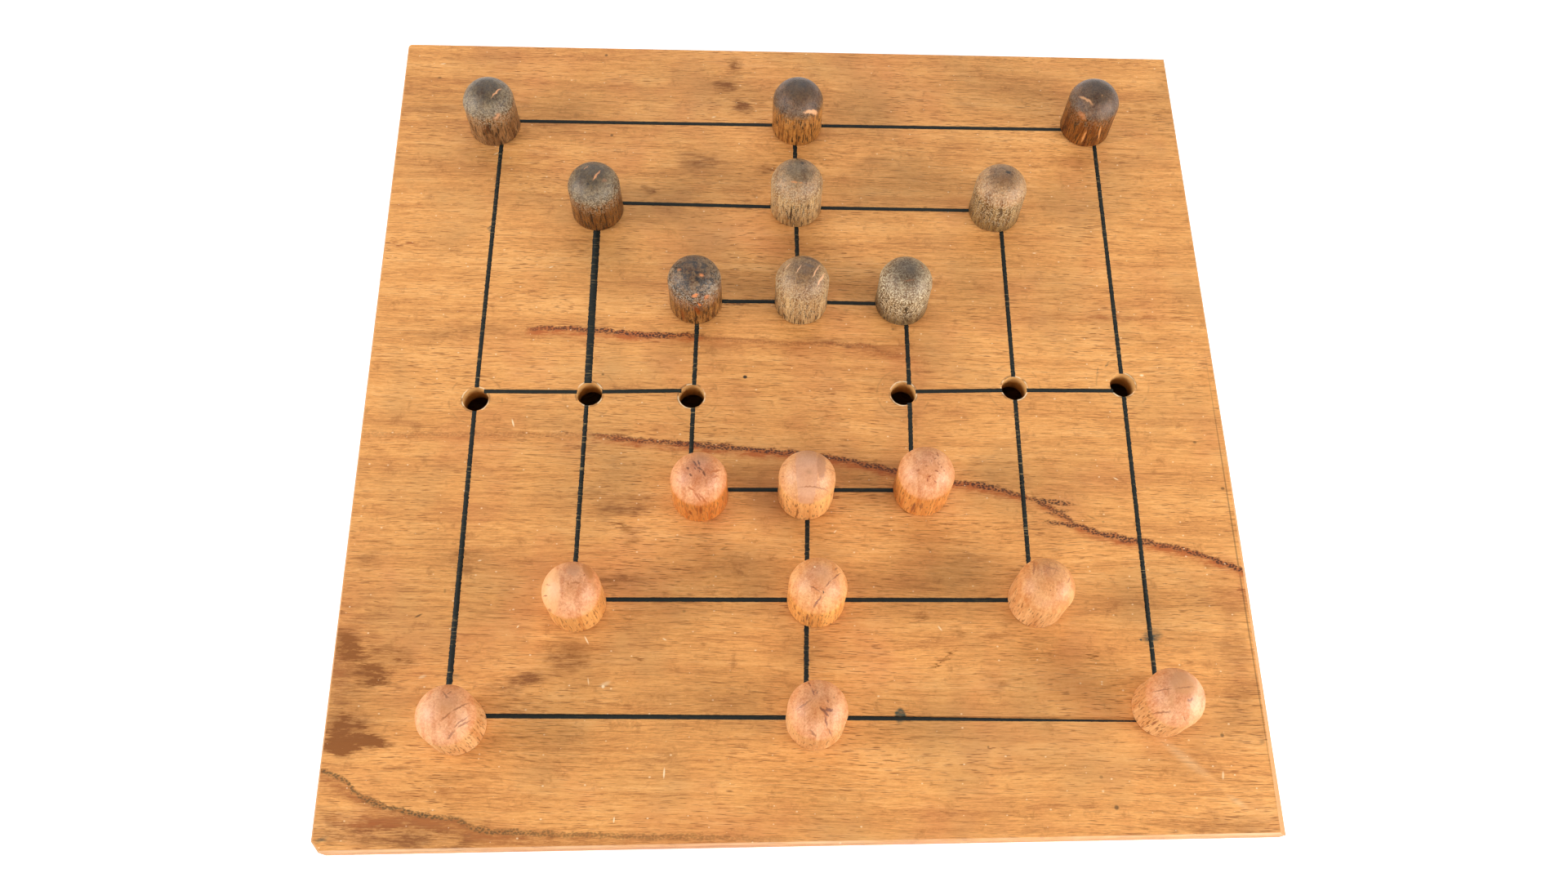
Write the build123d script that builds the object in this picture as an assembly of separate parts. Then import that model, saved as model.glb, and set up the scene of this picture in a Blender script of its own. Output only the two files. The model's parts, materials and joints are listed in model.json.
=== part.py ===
from build123d import *
import os
from math import asin, atan2, degrees

# A nine mens morris box, in millimetres: a shallow case, a lift-off board that is its lid,
# and nine dark and nine light pegs that stand in holes at the points of the morris.
# +X points to the right of the player who sits by the light pegs, +Y away from that player
# and +Z up. The origin is on the table, under the middle of the board.

# --- Board ---------------------------------------------------------------------------------
side_margin = 24.0  # from the outer square to the sawn edge, along X
end_margin = 24.3  # the same, along Y
board_thickness = 5.5
drift_step = 0.5  # the hand-made drifts below are counted in these
# How far the hand-sawn corners lie from the corners of a square blank, as (X, Y).
corner_drift = {
    "back_left": (-1, 4),
    "back_right": (-1, 0),
    "front_right": (3, 3),
    "front_left": (2, -3),
}
arris = 0.4  # wear along the top edges
back_left_round = 1.0  # radius of the worn corner
chip_width = 1.8  # the knocked-off front left corner, along X
chip_depth = 2.2  # the same, along Y
bevel_width = 1.6  # planed off the right-hand top edge where it meets the front
bevel_reach = 117.0  # how far back from the front edge that bevel runs out

# --- Morris --------------------------------------------------------------------------------
pitch = 25.4  # between neighbouring points of the grid
grid_shift_x = 1.9  # the middle of the grid from the middle of the board
grid_shift_y = 1.4
line_width = 1.0
heavy_line_width = 1.7  # the one line that was inked twice
line_depth = 0.2  # scored into the board and filled flush with ink
hole_diameter = 6.0

rings = {"outer": 3, "middle": 2, "inner": 1}  # half side of each square, in pitches
spots = {  # clockwise round each square
    "back_left": (-1, 1),
    "back_centre": (0, 1),
    "back_right": (1, 1),
    "mid_right": (1, 0),
    "front_right": (1, -1),
    "front_centre": (0, -1),
    "front_left": (-1, -1),
    "mid_left": (-1, 0),
}
middles = ("back_centre", "mid_right", "front_centre", "mid_left")
open_spots = ("mid_left", "mid_right")  # no peg stands there at the start of a game

# How far the hand-ruled lines stray from the true grid at each point, as (X, Y).
ruled_drift = {
    "outer": {
        "back_left": (1, 1),
        "back_centre": (-2, 0),
        "back_right": (0, -1),
        "mid_right": (0, 2),
        "front_right": (-1, -1),
        "front_centre": (0, 0),
        "front_left": (0, 1),
        "mid_left": (0, 0),
    },
    "middle": {
        "back_left": (1, 3),
        "back_centre": (-2, 1),
        "back_right": (-1, 0),
        "mid_right": (-1, 2),
        "front_right": (-1, 1),
        "front_centre": (1, 1),
        "front_left": (0, 1),
        "mid_left": (1, 0),
    },
    "inner": {
        "back_left": (1, -2),
        "back_centre": (-1, -2),
        "back_right": (0, -3),
        "mid_right": (0, 1),
        "front_right": (-1, 2),
        "front_centre": (2, 2),
        "front_left": (-1, 2),
        "mid_left": (0, 1),
    },
}

# How far the hand-drilled holes stray from the true grid at each point, as (X, Y).
drilled_drift = {
    "outer": {
        "back_left": (-3, -2),
        "back_centre": (-1, 0),
        "back_right": (-4, 1),
        "mid_right": (0, 5),
        "front_right": (0, 4),
        "front_centre": (4, -1),
        "front_left": (5, -3),
        "mid_left": (0, -4),
    },
    "middle": {
        "back_left": (1, -1),
        "back_centre": (-2, 2),
        "back_right": (-4, 0),
        "mid_right": (-1, 3),
        "front_right": (1, 1),
        "front_centre": (5, 1),
        "front_left": (2, -1),
        "mid_left": (2, -1),
    },
    "inner": {
        "back_left": (0, -2),
        "back_centre": (0, -2),
        "back_right": (-2, -2),
        "mid_right": (-3, 0),
        "front_right": (3, 2),
        "front_centre": (1, 0),
        "front_left": (4, -1),
        "mid_left": (-1, -2),
    },
}

# --- Pegs ----------------------------------------------------------------------------------
peg_diameter = 12.7  # half-inch dowel
peg_height = 15.5  # above the board, dome included
dome_height = 5.0
shank_length = 9.0  # turned down to go through the board
shank_chamfer = 0.5
peg_ease = 0.075  # between the shank and its hole, all round

# --- Case ----------------------------------------------------------------------------------
overhang = 4.5  # of the blank board over the case, on each side
wall_thickness = 7.0
rebate = 3.5  # at the corners and round the bottom, across the wall
cavity_height = 13.5  # lets a peg lie on its side
bottom_thickness = 4.0
bottom_ease = 0.1  # between the bottom and its rebate

# --- Battens under the board ---------------------------------------------------------------
batten_height = 6.0
batten_gap = 1.4  # from the outermost hole
lid_ease = 0.5  # between the battens and the case

# --- Panel pins ----------------------------------------------------------------------------
pin_diameter = 1.2
pin_head_diameter = 2.4
pin_head_height = 0.6
pin_ease = 0.05  # between a pin and the wood, all round
corner_pin_length = 14.0
corner_pin_margin = 3.5  # down from the top of the wall, and up from the bottom panel
bottom_pin_length = 12.0
bottom_pins_per_side = 4
bottom_pin_margin = 22.0  # from the inner corner to the first pin

# --- Worked out from the above -------------------------------------------------------------
board_width = 2 * (rings["outer"] * pitch + side_margin)  # the blank it was sawn from, along X
board_depth = 2 * (rings["outer"] * pitch + end_margin)  # the same, along Y
case_width = board_width - 2 * overhang
case_depth = board_depth - 2 * overhang
case_height = bottom_thickness + cavity_height
inner_width = case_width - 2 * wall_thickness
inner_depth = case_depth - 2 * wall_thickness
lip = wall_thickness - rebate  # wood left outside a rebate
board_top = case_height + board_thickness


def placed(ring, spot, drift):
    """A point of the grid on the board, as (x, y), with its hand-made drift."""
    column, row = spots[spot]
    stray_x, stray_y = drift[ring][spot]
    step = pitch * rings[ring]
    x = grid_shift_x + column * step + stray_x * drift_step
    y = grid_shift_y + row * step + stray_y * drift_step
    return x, y


def hole_centres():
    """Where the holes go, as {(ring, spot): (x, y)}."""
    return {(ring, spot): placed(ring, spot, drilled_drift) for ring in rings for spot in spots}


def morris_segments():
    """The straight runs of the morris, as (start, end, width)."""
    names = list(spots)
    segments = []
    for ring in rings:
        for spot, after in zip(names, names[1:] + names[:1]):
            heavy = ring == "middle" and (spot, after) == ("mid_left", "back_left")
            width = heavy_line_width if heavy else line_width
            segments.append((placed(ring, spot, ruled_drift), placed(ring, after, ruled_drift), width))
    ladder = list(rings)
    for spot in middles:
        for ring, within in zip(ladder, ladder[1:]):
            ends = placed(ring, spot, ruled_drift), placed(within, spot, ruled_drift)
            segments.append((*ends, line_width))
    return segments


def scored_line(start, end, width):
    """One scored line in the board's top, square-ended and run on by half its width."""
    run = Vector(*end) - Vector(*start)
    middle = (Vector(*end) + Vector(*start)) / 2
    place = Pos(middle.X, middle.Y, board_top) * Rot(0, 0, degrees(atan2(run.Y, run.X)))
    return place * Box(run.length + width, width, line_depth, align=(Align.CENTER, Align.CENTER, Align.MAX))


def drilled_holes():
    """The round tools that drill every hole right through the board."""
    bore = Cylinder(hole_diameter / 2, board_thickness, align=(Align.CENTER, Align.CENTER, Align.MIN))
    return [Pos(x, y, case_height) * bore for x, y in hole_centres().values()]


def board_corners():
    """The four sawn corners of the board, as {name: (x, y)}."""
    sides = {"left": -1, "right": 1, "front": -1, "back": 1}
    corners = {}
    for name, (stray_x, stray_y) in corner_drift.items():
        end, side = name.split("_")
        x = sides[side] * board_width / 2 + stray_x * drift_step
        y = sides[end] * board_depth / 2 + stray_y * drift_step
        corners[name] = x, y
    return corners


def board_blank():
    """The sawn board with its worn corner, chipped corner and worn top edges."""
    corners = board_corners()
    left, front = corners["front_left"]
    outline = Polyline(
        corners["back_left"],
        corners["back_right"],
        corners["front_right"],
        (left + chip_width, front),
        (left, front + chip_depth),
        close=True,
    )
    blank = extrude(Pos(0, 0, case_height) * make_face(outline), board_thickness)
    uprights = blank.edges().filter_by(Axis.Z)
    blank = fillet(uprights.sort_by(lambda edge: edge.center().X - edge.center().Y)[0], back_left_round)
    return chamfer(blank.faces().sort_by(Axis.Z)[-1].edges(), arris)


def right_bevel(blank):
    """The blank with the tapering bevel planed off its right-hand top edge."""
    corners = board_corners()
    back = Vector(*corners["back_right"])
    front = Vector(*corners["front_right"])
    run_out = front + (back - front) * (bevel_reach / (back - front).length)
    start = Vector(run_out.X, run_out.Y, board_top)
    inset = Vector(front.X - bevel_width, front.Y, board_top)
    dropped = Vector(front.X, front.Y, board_top - bevel_width)
    up = (dropped - start).cross(inset - start)
    return split(blank, Plane(origin=start, x_dir=inset - start, z_dir=up), keep=Keep.TOP)


def board_and_ink():
    """The playing board and the ink that fills its scored lines."""
    holes = drilled_holes()
    lines = Part() + [scored_line(*segment) for segment in morris_segments()]
    board = right_bevel(board_blank()) - lines - holes
    return board, lines - holes


def batten_faces():
    """How far from the middle a batten's inner and outer faces stand: clear of holes and walls."""
    outermost = max(abs(x) for x, y in hole_centres().values())
    return outermost + hole_diameter / 2 + batten_gap, inner_width / 2 - lid_ease


def battens():
    """The glued battens that stiffen the board and keep it in place, as {node: solid}."""
    inner, outer = batten_faces()
    length = inner_depth - 2 * lid_ease
    batten = Box(outer - inner, length, batten_height, align=(Align.MIN, Align.CENTER, Align.MAX))
    right = Pos(inner, 0, case_height) * batten
    return {"left_batten": mirror(right, Plane.YZ), "right_batten": right}


def peg():
    """One peg with its shoulder on z = 0: a domed dowel on a turned shank."""
    radius = peg_diameter / 2
    shank = hole_diameter / 2 - peg_ease
    dome_radius = (radius**2 + dome_height**2) / (2 * dome_height)
    dome_centre = peg_height - dome_radius
    side = peg_height - dome_height
    rise = degrees(asin((side - dome_centre) / dome_radius))
    quarter_turn = 90
    outline = Polyline(
        (0, peg_height),
        (0, -shank_length),
        (shank - shank_chamfer, -shank_length),
        (shank, shank_chamfer - shank_length),
        (shank, 0),
        (radius, 0),
        (radius, side),
    )
    outline += CenterArc((0, dome_centre), dome_radius, rise, quarter_turn - rise)
    return revolve(make_face(Plane.XZ * outline), Axis.Z)


def pegs():
    """Every peg in its hole at the start of a game, as {node: solid}."""
    blank = peg()
    placed_pegs = {}
    for (ring, spot), (x, y) in hole_centres().items():
        if spot in open_spots:
            continue
        end, side = spot.split("_")
        colour = "dark" if end == "back" else "light"
        placed_pegs[f"{colour}_peg_{ring}_{side}"] = Pos(x, y, board_top) * blank
    return placed_pegs


def pin(length, ease=0.0):
    """A panel pin that points up from z = 0, or with ease the hole that it fills."""
    stand = (Align.CENTER, Align.CENTER, Align.MIN)
    shank = Cylinder(pin_diameter / 2 + ease, length, align=stand)
    head = Cylinder(pin_head_diameter / 2 + ease, pin_head_height, align=stand)
    return shank + head


def corner_pin_places():
    """Where the corner pins go in: through the front and back walls, into the side walls."""
    heights = bottom_thickness + corner_pin_margin, case_height - corner_pin_margin
    x = (case_width - wall_thickness) / 2
    places = []
    for z in heights:
        for across in (-x, x):
            places.append(Pos(across, -case_depth / 2, z) * Rot(-90, 0, 0))
            places.append(Pos(across, case_depth / 2, z) * Rot(90, 0, 0))
    return places


def bottom_pin_places():
    """Where the bottom pins go in: up through the bottom, into all four walls."""
    across, along = (inner_width + rebate) / 2, (inner_depth + rebate) / 2
    places = []
    for n in range(bottom_pins_per_side):
        share = n / (bottom_pins_per_side - 1) - 0.5
        x = share * (inner_width - 2 * bottom_pin_margin)
        y = share * (inner_depth - 2 * bottom_pin_margin)
        places += [Pos(x, -along, 0), Pos(x, along, 0), Pos(-across, y, 0), Pos(across, y, 0)]
    return places


def bottom_blank(ease):
    """The bottom panel, smaller than its rebate by the given ease all round."""
    width = inner_width + 2 * rebate - 2 * ease
    depth = inner_depth + 2 * rebate - 2 * ease
    return Box(width, depth, bottom_thickness, align=(Align.CENTER, Align.CENTER, Align.MIN))


def case_walls():
    """The four walls, rebated for each other and for the bottom, as {node: solid}."""
    stand = (Align.CENTER, Align.CENTER, Align.MIN)
    side_length = case_depth - 2 * lip
    side = Box(wall_thickness, side_length, case_height, align=stand)
    long_wall = Box(case_width, wall_thickness, case_height, align=stand)
    side_x = (case_width - wall_thickness) / 2
    wall_y = (case_depth - wall_thickness) / 2
    left, right = Pos(-side_x, 0, 0) * side, Pos(side_x, 0, 0) * side
    landing = bottom_blank(0)
    return {
        "front_wall": Pos(0, -wall_y, 0) * long_wall - left - right - landing,
        "back_wall": Pos(0, wall_y, 0) * long_wall - left - right - landing,
        "left_wall": left - landing,
        "right_wall": right - landing,
    }


def case():
    """The walls, the bottom and the pins that hold them, as {node: solid}."""
    corner_places, bottom_places = corner_pin_places(), bottom_pin_places()
    holes = [place * pin(corner_pin_length, pin_ease) for place in corner_places]
    holes += [place * pin(bottom_pin_length, pin_ease) for place in bottom_places]
    wooden = {**case_walls(), "bottom_panel": bottom_blank(bottom_ease)}
    pieces = {name: piece - holes for name, piece in wooden.items()}
    pieces["corner_pins"] = Part() + [place * pin(corner_pin_length) for place in corner_places]
    pieces["bottom_pins"] = Part() + [place * pin(bottom_pin_length) for place in bottom_places]
    return pieces


def main():
    """Write every piece to its own STEP file."""
    board, ink = board_and_ink()
    pieces = {"board": board, "ink_lines": ink, **battens(), **pegs(), **case()}
    os.makedirs("parts", exist_ok=True)
    for name, piece in pieces.items():
        export_step(piece, f"parts/{name}.step")


main()
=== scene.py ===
"""A nine mens morris box, dressed: worn board lid, scored ink, eighteen pegs, pinned case.

Every piece is in metres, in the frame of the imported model, and rides on one of its bodies.
Sizes that a maker would give in millimetres are held in millimetres and turned by MM.
"""

import json
import logging
import math
from dataclasses import dataclass, field, replace
from enum import Enum
from functools import cache
from typing import Any, Mapping, Sequence

import bmesh
import bpy
from bpy.types import Material, Mesh, Node, NodeSocket, NodeTree, Object
from mathutils import Matrix, Vector


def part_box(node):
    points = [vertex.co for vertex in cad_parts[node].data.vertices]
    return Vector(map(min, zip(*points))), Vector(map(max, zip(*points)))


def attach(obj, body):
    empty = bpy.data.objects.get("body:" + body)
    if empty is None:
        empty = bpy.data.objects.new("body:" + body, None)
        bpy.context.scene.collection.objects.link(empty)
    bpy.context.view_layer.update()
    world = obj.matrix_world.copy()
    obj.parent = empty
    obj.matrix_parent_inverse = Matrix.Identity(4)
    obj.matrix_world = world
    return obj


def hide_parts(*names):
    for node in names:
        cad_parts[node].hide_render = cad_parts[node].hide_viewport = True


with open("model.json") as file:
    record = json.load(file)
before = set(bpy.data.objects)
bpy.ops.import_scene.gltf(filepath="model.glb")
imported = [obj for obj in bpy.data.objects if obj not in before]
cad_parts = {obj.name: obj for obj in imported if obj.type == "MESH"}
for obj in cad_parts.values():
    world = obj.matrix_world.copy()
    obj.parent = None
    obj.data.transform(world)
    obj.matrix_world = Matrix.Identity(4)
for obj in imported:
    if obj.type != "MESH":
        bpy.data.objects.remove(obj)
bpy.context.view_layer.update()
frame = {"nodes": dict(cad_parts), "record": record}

MM = 0.001
SAME_POINT = 0.002 * MM  # vertices this close are one
FLAT_ANGLE = 0.01  # faces that meet at less than this, in radians, are one
POLE_GAP = 0.004 * MM  # what the lathe closes at its poles and its seam
WEAR_RISE = 1.5 * MM  # over what height wear sets in
SEED_STRIDE = 7.31  # keeps the wear of two pegs apart
SHARP_ANGLE, SHORT_EDGE = 0.5, 3 * MM  # an arris is sharper and longer than these
ENDLESS = 1000  # mm, across a mark that has no depth
PORE_EDGE = 0.08  # how much noise lies between bare wood and an open pore
log = logging.getLogger("morris_box")

Coats = Sequence[tuple[Any, str]]  # colours to lay over a surface: each one's mask, and its hex value


# --- Small tools ---------------------------------------------------------------------------
def linear(code: str) -> tuple[float, float, float, float]:
    """Turn an sRGB hex colour into linear light.

    Args:
        code: the colour, as "#rrggbb".

    Returns:
        Red, green, blue and alpha, as a colour socket takes them.
    """
    levels = [int(code[at : at + 2], 16) / 255 for at in (1, 3, 5)]
    r, g, b = (v / 12.92 if v <= 0.04045 else ((v + 0.055) / 1.055) ** 2.4 for v in levels)
    return r, g, b, 1.0


def add(tree: NodeTree, kind: str, *values: Any, **named: Any) -> Node:
    """Add a node with its settings and links.

    Args:
        tree: the tree that gets it.
        kind: the node's type without its family, and then its operation if it has one.
        values: what its first inputs get, in order: a node or socket to link, a plain value,
            or None to leave one alone.
        named: with a capital, further inputs by name, an underscore for each space. Without,
            properties of the node, and two special ones: ramp is a list of (place, hex colour),
            in the order first, last, then those between, and curve is a list of (x, y) points.

    Returns:
        The node. Given as a value, it stands for its first output in use.
    """
    kind, *operation = kind.split()
    family = next(f for f in ("ShaderNode", "GeometryNode", "") if hasattr(bpy.types, f + kind))
    node = tree.nodes.new(family + kind)
    if operation:
        node.operation = operation[0]
    ramp, curve = named.pop("ramp", []), named.pop("curve", [])
    for name in [name for name in named if name[0].islower()]:
        setattr(node, name, named.pop(name))
    inputs = [s for s in node.inputs if s.enabled]
    wanted = list(zip(inputs, values))
    for name, value in named.items():
        wanted.append((next(s for s in inputs if s.name == name.replace("_", " ")), value))
    for socket, value in wanted:
        if isinstance(value, Node):
            value = next(s for s in value.outputs if s.enabled)
        if isinstance(value, NodeSocket):
            tree.links.new(value, socket)
        elif value is not None:
            socket.default_value = value
    for at, (place, colour) in enumerate(ramp):
        stops = node.color_ramp.elements
        stop = stops[at] if at < 2 else stops.new(place)
        stop.position, stop.color = place, linear(colour)
    if curve:
        points = node.mapping.curves[0].points
        points[0].location, points[-1].location = curve[0], curve[-1]
        for point in curve[1:-1]:
            points.new(*point)
        node.mapping.update()
    return node


def empty_tree(owner: Any) -> NodeTree:
    """Empty the node tree of a material or world.

    Args:
        owner: the material or world.

    Returns:
        Its tree, with nothing in it.
    """
    owner.use_nodes = True
    owner.node_tree.nodes.clear()
    return owner.node_tree


def clean_copy(node: str) -> bmesh.types.BMesh:
    """Copy a node's mesh, with its loose triangles merged into whole faces.

    Args:
        node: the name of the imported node.

    Returns:
        The copy, for the caller to use and free.
    """
    mesh = bmesh.new()
    mesh.from_mesh(frame["nodes"][node].data)
    bmesh.ops.remove_doubles(mesh, verts=mesh.verts, dist=SAME_POINT)
    bmesh.ops.dissolve_limit(mesh, angle_limit=FLAT_ANGLE, verts=mesh.verts, edges=mesh.edges)
    return mesh


def islands(node: str) -> list[list[Vector]]:
    """The points of each separate solid in a node.

    Args:
        node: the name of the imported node.

    Returns:
        For each solid, in a fixed order, its points in metres.
    """
    mesh = clean_copy(node)
    left, solids = set(mesh.verts), []
    while left:
        reached, edge = set(), [left.pop()]
        while edge:
            vert = edge.pop()
            reached.add(vert)
            near = {e.other_vert(vert) for e in vert.link_edges} & left
            left -= near
            edge.extend(near)
        solids.append(sorted((v.co.copy() for v in reached), key=tuple))
    mesh.free()
    return sorted(solids, key=lambda points: tuple(round(v, 5) for v in points[0]))


def box_of(points: Sequence[Vector]) -> tuple[Vector, Vector]:
    """The lowest and highest corner of the box round some points."""
    low, high = (Vector([pick(p[axis] for p in points) for axis in range(3)]) for pick in (min, max))
    return low, high


def new_object(name: str, data: Any) -> Object:
    """Put a mesh, lamp or camera in the scene.

    Args:
        name: the name of its object.
        data: the mesh, lamp or camera.

    Returns:
        The object, at the origin.
    """
    piece = bpy.data.objects.new(name, data)
    bpy.context.scene.collection.objects.link(piece)
    return piece


def plain_mesh(host: Object, name: str) -> Object:
    """Turn what an object's modifiers make into a plain mesh of its own.

    Args:
        host: the object with the live modifiers, which is removed.
        name: the name of the finished piece.

    Returns:
        The finished piece, with no modifier on it.
    """
    ready = host.evaluated_get(bpy.context.evaluated_depsgraph_get())
    mesh = bpy.data.meshes.new_from_object(ready)
    mesh.name = name
    bpy.data.objects.remove(host)
    return new_object(name, mesh)


def place_on_body(piece: Object, body: str, slot: str, *nodes: str) -> None:
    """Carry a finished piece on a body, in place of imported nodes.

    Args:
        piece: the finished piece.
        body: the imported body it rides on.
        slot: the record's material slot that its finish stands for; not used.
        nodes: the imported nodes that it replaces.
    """
    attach(piece, body)
    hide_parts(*nodes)
    log.info("%s: %d faces on body %s", piece.name, len(piece.data.polygons), body)


def hole_centres() -> list[Vector]:
    """Where the holes of the morris are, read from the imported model.

    Returns:
        The middle of each hole in the board's top, in millimetres, with z left at 0.
    """
    centres = [
        Vector(mount["pos_m"][:2]).to_3d() / MM
        for mount in frame["record"]["mounts"] if mount["kind"] == "bore"
    ]
    for node in frame["nodes"]:
        if "_peg_" in node:
            low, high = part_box(node)
            centres.append(((low + high) / 2).xy.to_3d() / MM)
    return centres


# --- Marks and figures that the finishes share ---------------------------------------------
class Grain(Enum):
    """Which way the fibres of a wooden piece run, as the turn that brings them to X."""

    ALONG_X = (0.0, 0.0, 0.0)
    ALONG_Y = (0.0, 0.0, math.radians(-90))
    ALONG_Z = (0.0, math.radians(90), 0.0)


@dataclass(frozen=True)
class Mark:
    """A placed blemish: a soft ellipse, in the millimetres of the face it lies on."""

    x: float
    y: float
    length: float
    width: float
    turn: float = 0.0
    depth: float = 1.0
    edge: float = 0.8

    def mask(self, tree: NodeTree, place: Any, before: Any) -> Node:
        """Add this blemish to a mask.

        Args:
            tree: the material's tree.
            place: where the surface is, in millimetres.
            before: the mask so far, or 0.

        Returns:
            The mask with this blemish in it.
        """
        spot = add(
            tree, "Mapping", place, (self.x, self.y, 0), (0, 0, math.radians(self.turn)),
            (self.length / 2, self.width / 2, ENDLESS), vector_type="TEXTURE"
        )
        away = add(tree, "VectorMath LENGTH", spot)
        here = add(
            tree, "MapRange", away, 1, 1 - self.edge, 0, self.depth, interpolation_type="SMOOTHSTEP"
        )
        return add(tree, "Math MAXIMUM", before, here)


def stroke(x0: float, y0: float, x1: float, y1: float, width: float = 0.5, depth: float = 0.8) -> Mark:
    """A scratch or crack between two points, thin at its ends.

    Args:
        x0: where it starts, in millimetres.
        y0: the same along the face's other side.
        x1: where it ends.
        y1: the same along the face's other side.
        width: its width in the middle, out to where it fades.
        depth: how strong it is.

    Returns:
        The mark.
    """
    run = Vector((x1 - x0, y1 - y0))
    turn = math.degrees(math.atan2(run.y, run.x))
    return Mark(
        (x0 + x1) / 2, (y0 + y1) / 2, 1.1 * run.length, 1.25 * width, turn, min(1.0, 1.2 * depth), 0.6
    )


def marked(tree: NodeTree, place: Any, marks: Sequence[Mark]) -> Any:
    """Gather blemishes in one mask.

    Args:
        tree: the material's tree.
        place: where the surface is, in millimetres.
        marks: the blemishes.

    Returns:
        The mask, from 0 outside them to their depth inside.
    """
    mask: Any = 0.0
    for mark in marks:
        mask = mark.mask(tree, place, mask)
    return mask


def laid_over(tree: NodeTree, under: Any, coats: Coats) -> Any:
    """Lay colours over a surface, one after another.

    Args:
        tree: the material's tree.
        under: the colour of the surface.
        coats: the colours, the lowest first.

    Returns:
        The colour with all of them on it.
    """
    for mask, colour in coats:
        under = add(tree, "Mix", mask, A=under, B=linear(colour), data_type="RGBA")
    return under


def swung(tree: NodeTree, tone: Any, layers: Sequence[tuple[Any, float]]) -> Any:
    """Let layers swing a tone up and down.

    Args:
        tree: the material's tree.
        tone: the tone to start from.
        layers: each layer, with a middle of 0.5, and its weight.

    Returns:
        The tone with all of them in it.
    """
    for layer, weight in layers:
        swing = add(tree, "Math SUBTRACT", layer, 0.5)
        tone = add(tree, "Math MULTIPLY_ADD", swing, weight, tone)
    return tone


def jitter(tree: NodeTree, place: Any, size: Sequence[float], reach: Sequence[float]) -> Any:
    """Shift a place about, so that what is drawn there has ragged edges.

    Args:
        tree: the material's tree.
        place: where the surface is, in millimetres.
        size: how long the shifts stay alike along each axis, in millimetres.
        reach: how far they go along each axis, from end to end, in millimetres.

    Returns:
        The shifted place.
    """
    step = add(tree, "VectorMath DIVIDE", place, tuple(size))
    noise = add(tree, "TexNoise", step, Scale=1, Detail=3, Roughness=0.65)
    around = add(tree, "VectorMath SUBTRACT", noise.outputs["Color"], (0.5, 0.5, 0.5))
    return add(tree, "VectorMath MULTIPLY_ADD", around, tuple(reach), place)


@cache
def wood_figure() -> NodeTree:
    """The figure that all the solid woods share, made once.

    Fibres run along X. The group gives layers from 0 to 1: broad growth bands, streaks, fine
    fibres, flecks, and the open pores that show as short dark dashes, or as dots on end grain.

    Returns:
        The node group.
    """
    tree = bpy.data.node_groups.new("wood_figure", "ShaderNodeTree")
    face = tree.interface
    face.new_socket("Place", in_out="INPUT", socket_type="NodeSocketVector")
    for label in ("Band", "Streak", "Fibre", "Fleck", "Pore", "Pore Length", "Pore Cover", "Wander"):
        face.new_socket(label, in_out="INPUT", socket_type="NodeSocketFloat")
    for label in ("Bands", "Streaks", "Fibres", "Flecks", "Pores"):
        face.new_socket(label, in_out="OUTPUT", socket_type="NodeSocketFloat")
    given = add(tree, "NodeGroupInput").outputs
    slow = add(tree, "VectorMath DIVIDE", given["Place"], (70, 16, 16))
    drift = add(tree, "TexNoise", slow, Scale=1, Detail=2)
    drift = add(tree, "VectorMath SUBTRACT", drift.outputs["Color"], (0.5, 0.5, 0.5))
    drift = add(tree, "VectorMath SCALE", drift, Scale=given["Wander"])
    place = add(tree, "VectorMath MULTIPLY_ADD", drift, (0, 1, 1), given["Place"])
    made = {}
    layers = (  # output, width, how many widths long, detail, roughness
        ("Bands", "Band", 14.0, 2.0, 0.5),
        ("Streaks", "Streak", 36.0, 2.0, 0.6),
        ("Fibres", "Fibre", 16.0, 4.0, 0.75),
        ("Flecks", "Fleck", 3.0, 2.0, 0.7),
        ("Pores", "Pore", 0.0, 1.0, 0.5),
    )
    for output, width, reach, detail, roughness in layers:
        across = given[width]
        along = given["Pore Length"]
        if reach:
            along = add(tree, "Math MULTIPLY", across, reach)
        step = add(tree, "CombineXYZ", along, across, across)
        spread = add(tree, "VectorMath DIVIDE", place, step)
        noise = add(tree, "TexNoise", spread, Scale=1, Detail=detail, Roughness=roughness)
        if output == "Pores":
            top = add(tree, "Math ADD", given["Pore Cover"], PORE_EDGE)
            noise = add(tree, "MapRange", noise.outputs["Fac"], given["Pore Cover"], top)
        made[output] = noise
    add(tree, "NodeGroupOutput", **made)
    return tree


def surface(name: str, centre: Sequence[float] = (0, 0, 0)) -> tuple[Material, NodeTree, Node]:
    """Start a material.

    Args:
        name: its name.
        centre: where its millimetres are counted from, in metres.

    Returns:
        The material, its tree, and where the surface is, in millimetres from the centre.
    """
    material = bpy.data.materials.new(name)
    tree = empty_tree(material)
    at = add(tree, "TexCoord").outputs["Object"]
    place = add(tree, "Mapping", at, tuple(centre), (0, 0, 0), (MM, MM, MM), vector_type="TEXTURE")
    return material, tree, place


def finish_surface(
    tree: NodeTree, colour: Any, rough: Any, relief: Any, depth: float, **sockets: Any
) -> None:
    """End a material with its shader.

    Args:
        tree: the material's tree.
        colour: the colour.
        rough: the roughness.
        relief: the height of the surface, from 0 to about 1.
        depth: how deep one unit of relief is, in millimetres.
        sockets: further inputs of the shader, named as add takes them.
    """
    bump = add(tree, "Bump", 1, depth * MM, Height=relief)
    shader = add(tree, "BsdfPrincipled", Base_Color=colour, Roughness=rough, Normal=bump, **sockets)
    add(tree, "OutputMaterial", shader)


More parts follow.
